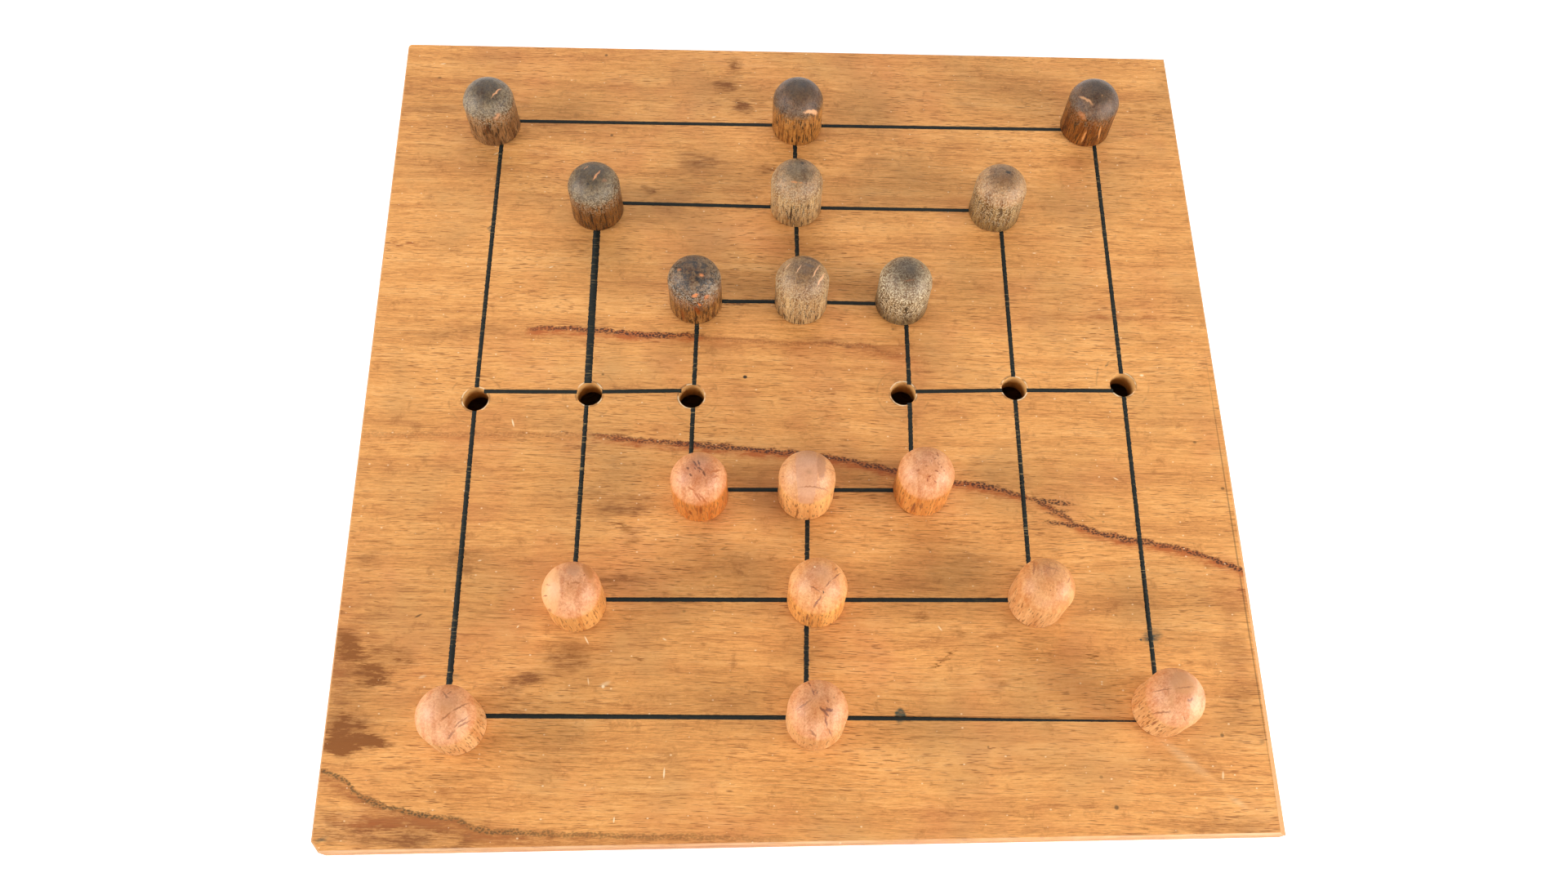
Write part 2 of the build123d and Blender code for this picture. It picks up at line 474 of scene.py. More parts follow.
# --- Finishes ------------------------------------------------------------------------------
@dataclass(frozen=True)
class Vein:
    """A mineral vein that wanders along the grain: dark pits with a red border in front."""

    path: tuple[tuple[float, float, float], ...]  # x, y in mm, and how strong it is there
    core: float  # half width of the pitted core, mm
    border: float  # width of the red border in front of it, mm
    spurs: tuple[Mark, ...] = ()  # where it doubles back
    pit: str = "#3f2417"
    between: str = "#955127"
    red: str = "#b0602e"
    red_depth: float = 0.6

    def masks(self, tree: NodeTree, place: Any) -> tuple[Any, Any]:
        """Follow the vein.

        Args:
            tree: the material's tree.
            place: where the surface is in millimetres, slightly jittered.

        Returns:
            The mask of the core and the mask of the border.
        """
        split = add(tree, "SeparateXYZ", place).outputs
        x0, x1 = self.path[0][0], self.path[-1][0]
        ys = [y for _, y, _ in self.path]
        y0, y1 = min(ys) - 1, max(ys) + 1
        along = add(tree, "MapRange", split["X"], x0, x1)
        line = add(
            tree, "FloatCurve", 1, along,
            curve=[((px - x0) / (x1 - x0), (py - y0) / (y1 - y0)) for px, py, _ in self.path]
        )
        depth = add(
            tree, "FloatCurve", 1, along,
            curve=[((px - x0) / (x1 - x0), strength) for px, _, strength in self.path]
        )
        height = add(tree, "Math MULTIPLY_ADD", line, y1 - y0, y0)
        off = add(tree, "Math SUBTRACT", split["Y"], height)
        side = add(tree, "Math ABSOLUTE", off)
        core = add(tree, "MapRange", side, self.core, 0.3 * self.core, interpolation_type="SMOOTHSTEP")
        core = add(tree, "Math MULTIPLY", core, depth)
        for spur in self.spurs:
            core = spur.mask(tree, place, core)
        border = add(
            tree, "MapRange", off, -self.core - self.border, -0.8 * self.core, interpolation_type="SMOOTHSTEP"
        )
        above = add(tree, "MapRange", off, 0.9 * self.core, 0, interpolation_type="SMOOTHSTEP")
        border = add(tree, "Math MULTIPLY", border, above)
        return core, add(tree, "Math MULTIPLY", border, depth)


@dataclass(frozen=True)
class VarnishedBoard:
    """Fine-grained tropical board under an old, thin satin varnish.

    Gives the eye a warm orange brown with short red-brown pores along the grain, hand stains,
    mineral veins, lint, and a dull sheen that the pores break up.
    """

    name: str = "varnished_board"
    light: str = "#eaad6a"
    middle: str = "#dc9a55"
    dark: str = "#b87740"
    ruddy: str = "#c67c48"
    drab: str = "#b28550"
    pore: str = "#80471f"
    freckle: str = "#93592b"
    smudge_and_shadow: str = "#875228"
    blush: str = "#9d592b"
    stain: str = "#854e1f"
    ink_smudge: str = "#45483a"
    dot: str = "#36281a"
    scratch: str = "#efd2a6"
    lint: str = "#f0d2a6"
    front_arris_highlight: str = "#eebf94"
    side_face_brown: str = "#be8850"
    shoulder_print: str = "#94673a"
    rim_pale: str = "#f3dcb4"
    rim_dark: str = "#5a3a1e"
    bore: str = "#dba765"
    bore_painted_shade: str = "#120b05"
    band_width: float = 5.5  # mm
    streak_width: float = 1.1
    fibre_width: float = 0.27
    fleck_width: float = 0.30
    pore_width: float = 0.19
    pore_length: float = 3.4
    grain_tilt: float = 1.2  # degrees
    cloud_size: float = 22.0  # mm
    hole_radius: float = 3.0
    shoulder_radius: float = 6.2  # of the ring that a peg's shoulder prints
    top: float = 23.0  # height of the board's face

    # Hand stains: the darkest ones, with ragged ends along the grain.
    STAINS = (
        Mark(-94.6, -78.4, 10, 10.5, 35, 0.95, 0.5), Mark(-95.5, -80.6, 11, 4.2, 0, 1, 0.5),
        Mark(-90, -79.4, 12, 4, -8, 0.8), Mark(-87, -80.6, 10, 2.4, 0, 0.45, 0.9),
        Mark(-94, -78, 17, 14, 0, 0.35, 1), Mark(-96.6, -59.3, 11, 8, -35, 0.9),
        Mark(-90.6, -65.4, 12, 7, -12, 0.9), Mark(-93.6, -62.2, 10, 6, -40, 0.7, 0.9),
        Mark(-86, -61.6, 14, 6.4, 4, 0.65, 0.9), Mark(-83.2, -62.2, 6, 4.4, 30, 0.6, 0.9),
        Mark(-89.5, -62, 24, 11, 0, 0.42, 1), Mark(-47, -61, 10, 5.5, -10, 0.3, 0.9),
        Mark(-45, -62.5, 6, 4, 0, 0.2, 1), Mark(-37.2, -34.2, 7, 5.4, -25, 0.34, 0.7),
        Mark(-39.2, -31.6, 1.6, 3.4, 15, 0.4, 0.7), Mark(-14.8, 96.5, 6, 10, 12, 0.6, 0.9),
        Mark(-17, 89.5, 9, 8, 0, 0.6, 0.9), Mark(-12.6, 83.4, 5, 8, 30, 0.72),
        Mark(-7, 64, 6, 4.4, 0, 0.72, 0.9), Mark(-13.4, 25.4, 7.5, 2.2, 0, 0.75),
        Mark(-34, -62.4, 1.7, 1.5, 0, 0.5, 0.6), Mark(27.5, -53.1, 6, 2.2, -6, 0.34, 0.9),
        Mark(36, -56, 6, 3.2, -15, 0.3, 0.9), Mark(30.4, -63.4, 7, 0.8, 42, 0.5, 0.9),
        Mark(33.6, -60.6, 7, 0.8, 44, 0.5, 0.9), Mark(43, -57, 8, 3, 10, 0.2, 1),
        Mark(64.6, -61.4, 1.6, 4.4, 16, 0.45), Mark(46.5, -54, 6, 2.6, 20, 0.18, 1),
        Mark(-71.6, -43.2, 1.6, 2, 0, 0.35), Mark(-73, -38.5, 10, 2.6, 0, 0.3, 1),
        Mark(56, -15.5, 5, 1.6, 0, 0.22, 1), Mark(-83, 68.5, 9, 4, 0, 0.18, 1)
    )
    # Grime in soft clouds, with two painted shadows among them.
    SMUDGES_AND_SHADOWS = (
        Mark(-80, -98, 66, 10, -4, 0.6, 1), Mark(-96, -62, 20, 56, 0, 0.28, 1),
        Mark(-94, -39, 12, 7, 0, 0.32, 1), Mark(-73, -40, 14, 6, 0, 0.3, 1), Mark(-96, -53, 8, 6, 0, 0.34, 1),
        Mark(-59, -67.5, 19, 9, 14, 0.55, 0.9), Mark(-49, -62, 24, 11, 16, 0.45, 1),
        # The first mark here is a painted shadow, cast to the right by the front left peg.
        Mark(-62, -72.5, 26, 5, 0, 0.18, 1), Mark(-40, -44, 20, 7, -6, 0.42, 1),
        Mark(-38, -27, 24, 8, 10, 0.42, 1), Mark(-46, -24, 10, 4, 0, 0.25, 1),
        # The first mark here is grime and painted shade along the right edge, by the front right peg.
        Mark(96, -62, 10, 64, 0, 0.22, 1), Mark(88, -97, 34, 6, 0, 0.3, 1), Mark(-24, 66, 18, 12, 0, 0.34, 1),
        Mark(-37, 58, 4, 8, 10, 0.42, 1), Mark(46.5, 85, 10, 5, -20, 0.2, 1),
        Mark(40, 72, 14, 8, 60, 0.18, 1), Mark(20, 66, 9, 6, 0, 0.2, 1), Mark(73, 68, 8, 5, 0, 0.18, 1),
        Mark(42, -68, 14, 8, 0, 0.16, 1), Mark(40, -41, 16, 7, 0, 0.2, 1), Mark(-93, 82, 26, 6, 0, 0.26, 1),
        Mark(-80, 17, 48, 8, 0, 0.24, 1), Mark(-55, 42, 9, 4, 0, 0.2, 1), Mark(-60, 34, 6, 3, 0, 0.18, 1),
        Mark(58, -37, 8, 4, 0, 0.22, 1), Mark(-14, -40, 14, 9, 0, 0.18, 1),
        Mark(13, 14.7, 34, 4, -6, 0.34, 1), Mark(0, 88, 46, 10, 0, 0.14, 1),
        Mark(88, -84, 22, 6, -35, 0.14, 1), Mark(84, 16, 40, 5, 0, 0.16, 1), Mark(24, 4, 30, 4, -3, 0.16, 1),
        Mark(-24, -72, 30, 10, 4, 0.1, 1), Mark(-83, -85.5, 12, 3, 0, 0.26, 1),
        Mark(-86, -88, 8, 3, 0, 0.2, 1), Mark(-68, -87, 22, 3, 0, 0.18, 1), Mark(30, -37, 3, 2.4, 0, 0.3, 1)
    )
    # Streaks and patches where the wood itself is redder.
    BLUSHES = (
        Mark(-63, 68, 18, 7, 0, 0.2, 1), Mark(80, 22, 60, 2.4, 0, 0.35, 1), Mark(-92, 41, 20, 1.2, 0, 0.6, 1),
        Mark(20, 12.5, 22, 4, -8, 0.28, 1), Mark(-98, -63, 8, 26, 0, 0.3, 1),
        Mark(-52, -13, 30, 2, 0, 0.2, 1), Mark(99.4, -47, 1.4, 6, 0, 0.6, 0.9),
        Mark(-88, -96, 30, 5, -4, 0.4, 1), Mark(43, -57, 10, 3, 0, 0.25, 1), Mark(-70, -90, 40, 3, 0, 0.18, 1)
    )
    # Ink that was rubbed or bled.
    INK_SMUDGES = (
        Mark(78, -57, 6.5, 4.6, 30, 0.55, 0.9), Mark(75.6, -57.8, 1, 0.8, 0, 0.8, 0.7),
        Mark(22, -74.4, 3, 4, 0, 0.8, 0.5), Mark(-74.4, 45.6, 2.4, 2.2, 0, 0.45, 0.6),
        Mark(75, 9.5, 3, 0.7, 50, 0.5), Mark(72.6, 7.5, 3.4, 0.6, 80, 0.35, 0.9),
        Mark(-16.4, 25.7, 2.4, 1.3, 0, 0.9, 0.5), Mark(-73, -66, 4, 2, -20, 0.22, 0.9),
        Mark(-67.5, -98.6, 3, 1, 10, 0.4, 0.9), Mark(-97, -99.5, 4, 1.6, 20, 0.35, 0.9)
    )
    # Specks of ink and dirt.
    DOTS = (
        stroke(98.9, 18, 100.1, -100, 0.4, 0.4), Mark(-11.5, 5.5, 1.3, 1.1, 0, 1, 0.5),
        Mark(-46, 74, 1.1, 0.9, 0, 0.7, 0.6), Mark(-48.6, 99.4, 1.2, 0.9, 0, 0.7, 0.6),
        Mark(-45, 6, 0.9, 0.8, 0, 0.6, 0.6), Mark(93.5, -10.8, 1.2, 0.9, 0, 0.6, 0.6),
        Mark(98.5, -22.3, 1.2, 0.9, 0, 0.7, 0.6), Mark(90.6, -78.6, 1.1, 1.1, 0, 0.65, 0.6),
        Mark(66.4, -93.5, 1.3, 1.3, 0, 0.7, 0.6), Mark(40.4, -81, 0.7, 0.7, 0, 0.5, 0.6),
        Mark(63.8, -87.3, 1.1, 0.9, 0, 0.4, 0.6), Mark(-82.2, -52.6, 2.4, 0.6, 28, 0.75, 0.7),
        Mark(-91.5, 91.5, 1.4, 0.9, 0, 0.55, 0.7), Mark(33.5, 53, 1.6, 1.2, 0, 0.5),
        Mark(-13.2, 25.2, 1.5, 1, 0, 0.6, 0.6), Mark(-77, -47, 0.8, 1.4, 0, 0.4),
        Mark(99, -80, 2, 1.6, 30, 0.4, 0.9), Mark(67.5, -29.5, 3, 0.6, -25, 0.35),
        Mark(70, -30.5, 1, 0.8, 0, 0.4), Mark(13, 13.6, 2.4, 1.6, 0, 0.4, 0.9),
        Mark(-16, -37, 3.2, 0.6, 20, 0.35, 0.9), Mark(-24.5, -51.5, 1.2, 1, 0, 0.4, 0.9),
        Mark(24, 18.5, 1.2, 0.8, 0, 0.4)
    )
    # Nicks and scratches that show pale wood.
    SCRATCHES = (
        Mark(-41, -67.6, 3.6, 1.4, 25, 0.45, 0.9), Mark(-41.4, -68.1, 0.9, 1, 0, 1, 0.5),
        Mark(-44.6, -67, 0.4, 2.2, 10, 0.7), stroke(-46, -57, -44.9, -59, 0.35),
        stroke(-27.8, -85, -27.9, -87.6, 0.4), stroke(-37.8, -95, -37.9, -96.4, 0.35),
        stroke(-65.5, -5.5, -64.8, -7.8, 0.4, 0.9), Mark(-59, 35, 1.6, 0.4, 20), Mark(-75, 68, 2.2, 0.35, 35),
        Mark(74, -20, 1.8, 0.4, -30), Mark(83, 6.5, 1.4, 0.8), Mark(-91, 96, 2, 0.4, 10),
        stroke(31, -54.6, 32, -56, 0.4, 0.6), Mark(-52, -50, 1.5, 0.35, 80), Mark(-80, -66, 2.4, 1, 20, 0.4),
        Mark(9, -33, 1.3, 0.4, 50), stroke(89.5, -88, 89.8, -86, 0.5, 0.5), Mark(60, 40, 1.3, 0.4),
        Mark(-20, 80, 1.5, 0.4, 15), Mark(50, -45, 1.5, 0.35, 60), Mark(-70, -40, 1.2, 0.4, 10),
        Mark(5, 60, 1.2, 0.4), Mark(88, 50, 1.4, 0.35, 20), Mark(-60.5, -55, 1, 0.4, 50),
        Mark(-28.6, -57.8, 1.4, 0.4, -30), Mark(63.9, -90.2, 0.8, 0.8, 0, 0.6),
        stroke(73, -33.6, 73.6, -35.6, 0.4, 0.5), Mark(82, -83.5, 20, 3.2, -40, 0.22, 1),
        Mark(92, -92.5, 7, 2, -35, 0.22, 1)
    )
    # Mineral veins: from the middle to the right edge, left of the middle, and at the front left.
    VEINS = (
        Vein(
            (
                (-47, -9.6, 0.2), (-38, -10.6, 0.75), (-24, -11.8, 0.9), (-8, -13.2, 1), (8, -15, 1),
                (20, -17.4, 0.95), (32, -20.2, 0.8), (42, -21.8, 1), (50, -23.6, 0.85), (57, -26.4, 0.8),
                (61, -29, 0.8), (66, -32.2, 0.95), (74, -34.3, 1), (84, -36.2, 0.85), (93, -39, 0.95),
                (104, -43.5, 1)
            ),
            0.95, 1.9,
            spurs=(
                stroke(52, -25.2, 65, -26.4, 1.2), stroke(56, -28.6, 63, -28, 1, 0.6),
                stroke(55.5, -30.4, 67, -32, 1.2), stroke(39, -21, 48, -22.6, 1.8)
            )
        ),
        Vein(
            (
                (-64, 18, 0), (-58, 18.2, 0.8), (-49, 17.9, 0.95), (-36, 16.8, 1), (-24, 16.5, 0.7),
                (-18, 15.6, 0.2), (4, 14.4, 0.25), (14, 14.2, 0.3), (24, 11.6, 0.2), (36, 9.5, 0)
            ),
            0.9, 2, spurs=(stroke(-40, 16.4, -27, 16.3, 1.4, 0.9),), red_depth=0.7
        ),
        Vein(
            (
                (-104, -84, 0.7), (-98, -85.9, 0.75), (-94, -87.6, 0.75), (-90, -90.9, 0.7),
                (-84, -93.1, 0.75), (-77, -94.6, 0.85), (-70, -95.7, 0.6), (-65, -97.6, 0.7),
                (-50, -98.5, 0.5), (-20, -99.2, 0.3), (2, -99.8, 0)
            ),
            0.8, 3.4, pit="#4a3d24", between="#93652f", red="#a06030", red_depth=0.75
        )
    )

    def wood(self, tree: NodeTree, place: Any) -> tuple[Any, Any, Any, Any]:
        """The bare wood under stains and wear.

        Args:
            tree: the material's tree.
            place: where the surface is, in millimetres.

        Returns:
            Its colour, its fibres, its pores, and the slow clouds that vary all three.
        """
        tilt = add(tree, "Mapping", place, (0, 0, 0), (0, 0, math.radians(self.grain_tilt)))
        figure = add(
            tree, "Group", node_tree=wood_figure(), Place=tilt, Band=self.band_width,
            Streak=self.streak_width, Fibre=self.fibre_width, Fleck=self.fleck_width, Pore=self.pore_width,
            Pore_Length=self.pore_length, Pore_Cover=0.6, Wander=5
        ).outputs
        clouds = add(tree, "TexNoise", place, Scale=1 / self.cloud_size, Detail=3, Roughness=0.6).outputs
        weights = (("Bands", 0.55), ("Streaks", 0.6), ("Fibres", 1.15), ("Flecks", 0.4))
        tone = swung(tree, 0.5, [(figure[layer], weight) for layer, weight in weights])
        tone = swung(tree, tone, [(clouds["Fac"], 0.45)])
        colour = add(
            tree, "ValToRGB", tone, ramp=[(0.18, self.dark), (0.8, self.light), (0.5, self.middle)]
        )
        hues = add(tree, "SeparateXYZ", clouds["Color"]).outputs
        ruddy = add(tree, "MapRange", hues["Y"], 0.5, 0.72, 0, 0.5)
        drab = add(tree, "MapRange", hues["Z"], 0.5, 0.75, 0, 0.5)
        # Pores gather in some growth bands and thin out in others.
        crowd = add(tree, "MapRange", clouds["Fac"], 0.34, 0.62, 0.25, 0.8)
        pores = add(tree, "Math MULTIPLY", figure["Pores"], crowd)
        long_step = add(tree, "VectorMath DIVIDE", tilt, (9, 0.42, 0.42))
        long_pores = add(tree, "TexNoise", long_step, Scale=1, Detail=2)
        long_pores = add(tree, "MapRange", long_pores, 0.62, 0.72, 0, 0.45)
        # Freckles of grime 1 to 3 mm across, more of them where the clouds are dark.
        freckles = add(tree, "TexNoise", place, Scale=0.27, Detail=4, Roughness=0.72)
        freckles = add(tree, "Math MULTIPLY_ADD", clouds["Fac"], -0.35, freckles)
        freckles = add(tree, "MapRange", freckles, 0.415, 0.54, 0, 0.42)
        coats = (
            (ruddy, self.ruddy), (drab, self.drab), (freckles, self.freckle), (pores, self.pore),
            (long_pores, self.pore)
        )
        return laid_over(tree, colour, coats), figure["Fibres"], pores, clouds

    def rims(self, tree: NodeTree, place: Any, on_top: Any, holes: Sequence[Vector]) -> Coats:
        """What drilling and pegs have left at each hole.

        Args:
            tree: the material's tree.
            place: where the surface is, in millimetres.
            on_top: the mask of the board's face.
            holes: the middles of the holes, in millimetres.

        Returns:
            The coats: three worn rings, the bore, and painted shade that darkens down in it.
        """
        flat = add(tree, "VectorMath MULTIPLY", place, (1, 1, 0))
        ragged = jitter(tree, flat, (0.7, 0.5, 1), (0.35, 0.35, 0))
        nearest: Any = 100.0
        frayed: Any = 100.0
        for hole in holes:
            away = add(tree, "VectorMath DISTANCE", flat, tuple(hole))
            nearest = add(tree, "Math MINIMUM", nearest, away)
            away = add(tree, "VectorMath DISTANCE", ragged, tuple(hole))
            frayed = add(tree, "Math MINIMUM", frayed, away)
        patchy = add(tree, "TexNoise", flat, Scale=0.42, Detail=1).outputs
        patches = add(tree, "SeparateXYZ", patchy["Color"]).outputs
        coats = []
        for paint, centre, width, strength, patch in (
            (self.shoulder_print, self.shoulder_radius, 0.32, 0.34, "Z"),
            (self.rim_dark, self.hole_radius + 0.22, 0.34, 0.55, "Y"),
            (self.rim_pale, self.hole_radius + 0.13, 0.22, 0.7, "X")
        ):
            away = add(tree, "Math ABSOLUTE", add(tree, "Math SUBTRACT", frayed, centre))
            ring = add(tree, "MapRange", away, width, 0.2 * width, 0, strength)
            here = add(tree, "MapRange", patches[patch], 0.47, 0.56)
            mask = add(tree, "Math MULTIPLY", ring, here)
            coats.append((add(tree, "Math MULTIPLY", mask, on_top), paint))
        height = add(tree, "SeparateXYZ", place).outputs["Z"]
        inside = add(tree, "MapRange", nearest, self.hole_radius + 0.06, self.hole_radius + 0.01)
        below = add(tree, "MapRange", height, self.top - 0.02, self.top - 0.25)
        # Painted shade: the bore's wall darkens to near black with depth.
        deep = add(tree, "MapRange", height, self.top - 2.5, self.top - 9, 0, 0.97)
        coats.append((add(tree, "Math MULTIPLY", inside, below), self.bore))
        coats.append((add(tree, "Math MULTIPLY", inside, deep), self.bore_painted_shade))
        return coats

    def stained(self, tree: NodeTree, colour: Any, place: Any, on_top: Any, grime: Any) -> Any:
        """Lay stains, smudges with two painted shadows among them, and scratches on the wood.

        Args:
            tree: the material's tree.
            colour: the colour of the wood.
            place: where the surface is, in millimetres.
            on_top: the mask of the board's face.
            grime: how dirt settles.

        Returns:
            The colour with all of them on it.
        """
        ragged = jitter(tree, jitter(tree, place, (7, 0.5, 1), (7, 0, 0)), (3, 2.4, 1), (5, 4, 0))
        cloudy = jitter(tree, place, (11, 5, 1), (14, 8, 0))
        blurred = jitter(tree, place, (1.6, 1.2, 1), (1.6, 1.4, 0))
        coats = []
        for marks, where, paint in (
            (self.SMUDGES_AND_SHADOWS, cloudy, self.smudge_and_shadow), (self.BLUSHES, ragged, self.blush),
            (self.STAINS, ragged, self.stain), (self.INK_SMUDGES, blurred, self.ink_smudge),
            (self.DOTS, place, self.dot), (self.SCRATCHES, place, self.scratch)
        ):
            mask = marked(tree, where, marks)
            if where is not place:
                mask = add(tree, "Math MULTIPLY", mask, grime, use_clamp=True)
            coats.append((add(tree, "Math MULTIPLY", mask, on_top), paint))
        return laid_over(tree, colour, coats)

    def veined(self, tree: NodeTree, colour: Any, place: Any, grime: Any) -> Any:
        """Draw the veins: pits 0.4 mm across in a brown line, red-brown wood on its near side.

        Args:
            tree: the material's tree.
            colour: the colour so far.
            place: where the surface is, in millimetres.
            grime: how dirt settles.

        Returns:
            The colour with the veins in it.
        """
        wavy = jitter(tree, jitter(tree, place, (2.4, 1.6, 1), (2.6, 1.9, 0)), (0.9, 0.6, 1), (1, 0.8, 0))
        cell = add(tree, "VectorMath DIVIDE", place, (0.62, 0.42, 1))
        pits = add(tree, "TexVoronoi", cell, Scale=1, voronoi_dimensions="2D")
        pits = add(tree, "MapRange", pits.outputs["Distance"], 0.58, 0.34, 0, 0.95)
        for vein in self.VEINS:
            core, border = vein.masks(tree, wavy)
            border = add(tree, "Math MULTIPLY", border, vein.red_depth)
            border = add(tree, "Math MULTIPLY", border, grime, use_clamp=True)
            line = add(tree, "Math MULTIPLY", core, 0.5)
            pitted = add(tree, "Math MULTIPLY", core, pits)
            colour = laid_over(tree, colour, ((border, vein.red), (line, vein.between), (pitted, vein.pit)))
        return colour

    def material(self, holes: Sequence[Vector]) -> Material:
        """Build the material.

        Args:
            holes: the middles of the drilled holes, in millimetres, for their worn rims.

        Returns:
            The material.
        """
        material, tree, place = surface(self.name)
        colour, fibres, pores, clouds = self.wood(tree, place)
        height = add(tree, "SeparateXYZ", place).outputs["Z"]
        on_top = add(tree, "MapRange", height, self.top - 2.5, self.top - 0.6)
        # Grime is caught by the fibres, and breaks up into blots along the grain.
        caught = add(tree, "MapRange", fibres, 0.36, 0.64, 1.35, 0.65)
        blots = add(tree, "VectorMath DIVIDE", place, (6.5, 2, 2))
        blots = add(tree, "TexNoise", blots, Scale=1, Detail=4, Roughness=0.7)
        blots = add(tree, "MapRange", blots, 0.42, 0.6, 0.8, 2.3)
        grime = add(tree, "Math MULTIPLY", caught, blots)
        colour = self.stained(tree, colour, place, on_top, grime)
        colour = self.veined(tree, colour, place, grime)

        # Lint and dust: pale specks 0.25 mm across, about one to each 4 mm of board.
        cell = add(tree, "VectorMath DIVIDE", place, (4.4, 3.2, 1))
        specks = add(tree, "TexVoronoi", cell, Scale=1, voronoi_dimensions="2D").outputs
        size = add(tree, "SeparateXYZ", specks["Color"]).outputs["X"]
        size = add(tree, "MapRange", size, 0.45, 1, 0, 0.065)
        lint = add(tree, "Math SUBTRACT", size, specks["Distance"])
        lint = add(tree, "MapRange", lint, 0, 0.02, 0, 0.65)
        lint = add(tree, "Math MULTIPLY", lint, on_top)

        # The front arris is painted pale in patches, a painted highlight: it faces neither up nor straight
        # out.
        normal = add(tree, "SeparateXYZ", add(tree, "NewGeometry").outputs["Normal"]).outputs
        rise = add(tree, "Math ABSOLUTE", normal["Z"])
        # Painted highlight on the front arris, broken into patches by the clouds.
        rubbed = add(tree, "MapRange", clouds["Fac"], 0.35, 0.6, 0.25, 0.75)
        for facing, *bounds in ((rise, 0.97, 0.8), (rise, 0.15, 0.4), (normal["Y"], -0.15, -0.4)):
            part = add(tree, "MapRange", facing, *bounds)
            rubbed = add(tree, "Math MULTIPLY", rubbed, part)
        # Faces turned to the left or right, and the planed bevel of the right edge, are painted browner.
        facing = add(tree, "Math ABSOLUTE", normal["X"])
        side_facing = add(tree, "MapRange", facing, 0.2, 0.6, 0, 0.85)
        coats = ((lint, self.lint), (rubbed, self.front_arris_highlight), (side_facing, self.side_face_brown))
        colour = laid_over(tree, colour, [*coats, *self.rims(tree, place, on_top, holes)])
        rough = add(tree, "MapRange", fibres, 0.3, 0.7, 0.62, 0.48)
        relief = add(tree, "Math MULTIPLY_ADD", pores, -1, fibres)
        finish_surface(tree, colour, rough, relief, 0.05, IOR=1.45, Specular_IOR_Level=0.3)
        return material


@dataclass(frozen=True)
class ScoredInk:
    """Black drawing ink, dried matt in a scored line.

    Gives the eye a greenish black, with hair-thin scrapes along the grain where it has worn.
    """

    name: str = "scored_ink"
    black: str = "#0d100c"
    thin: str = "#1d201a"
    scrape: str = "#8d7650"

    def material(self) -> Material:
        """Build the material.

        Returns:
            The material.
        """
        material, tree, place = surface(self.name)
        # Scrapes are 0.15 mm wide, lie along the grain, and are commoner across a line.
        step = add(tree, "VectorMath DIVIDE", place, (3.6, 0.26, 3))
        scrapes = add(tree, "TexNoise", step, Scale=1, Detail=1)
        few = add(tree, "TexNoise", place, Scale=0.09, Detail=1)
        few = add(tree, "MapRange", few, 0.42, 0.62, 0.15, 0.9)
        scrapes = add(tree, "MapRange", scrapes, 0.63, 0.7)
        across = add(tree, "Attribute", attribute_name="across").outputs["Fac"]
        scrapes = add(tree, "Math MULTIPLY", add(tree, "Math MULTIPLY", scrapes, few), across)
        cover = add(tree, "TexNoise", place, Scale=1.6, Detail=3, Roughness=0.7)
        ink = add(tree, "ValToRGB", cover, ramp=[(0.4, self.black), (0.7, self.thin)])
        colour = laid_over(tree, ink, ((scrapes, self.scrape),))
        rough = add(tree, "MapRange", cover, 0.3, 0.7, 0.62, 0.8)
        finish_surface(tree, colour, rough, cover, 0.03, Specular_IOR_Level=0.2)
        return material


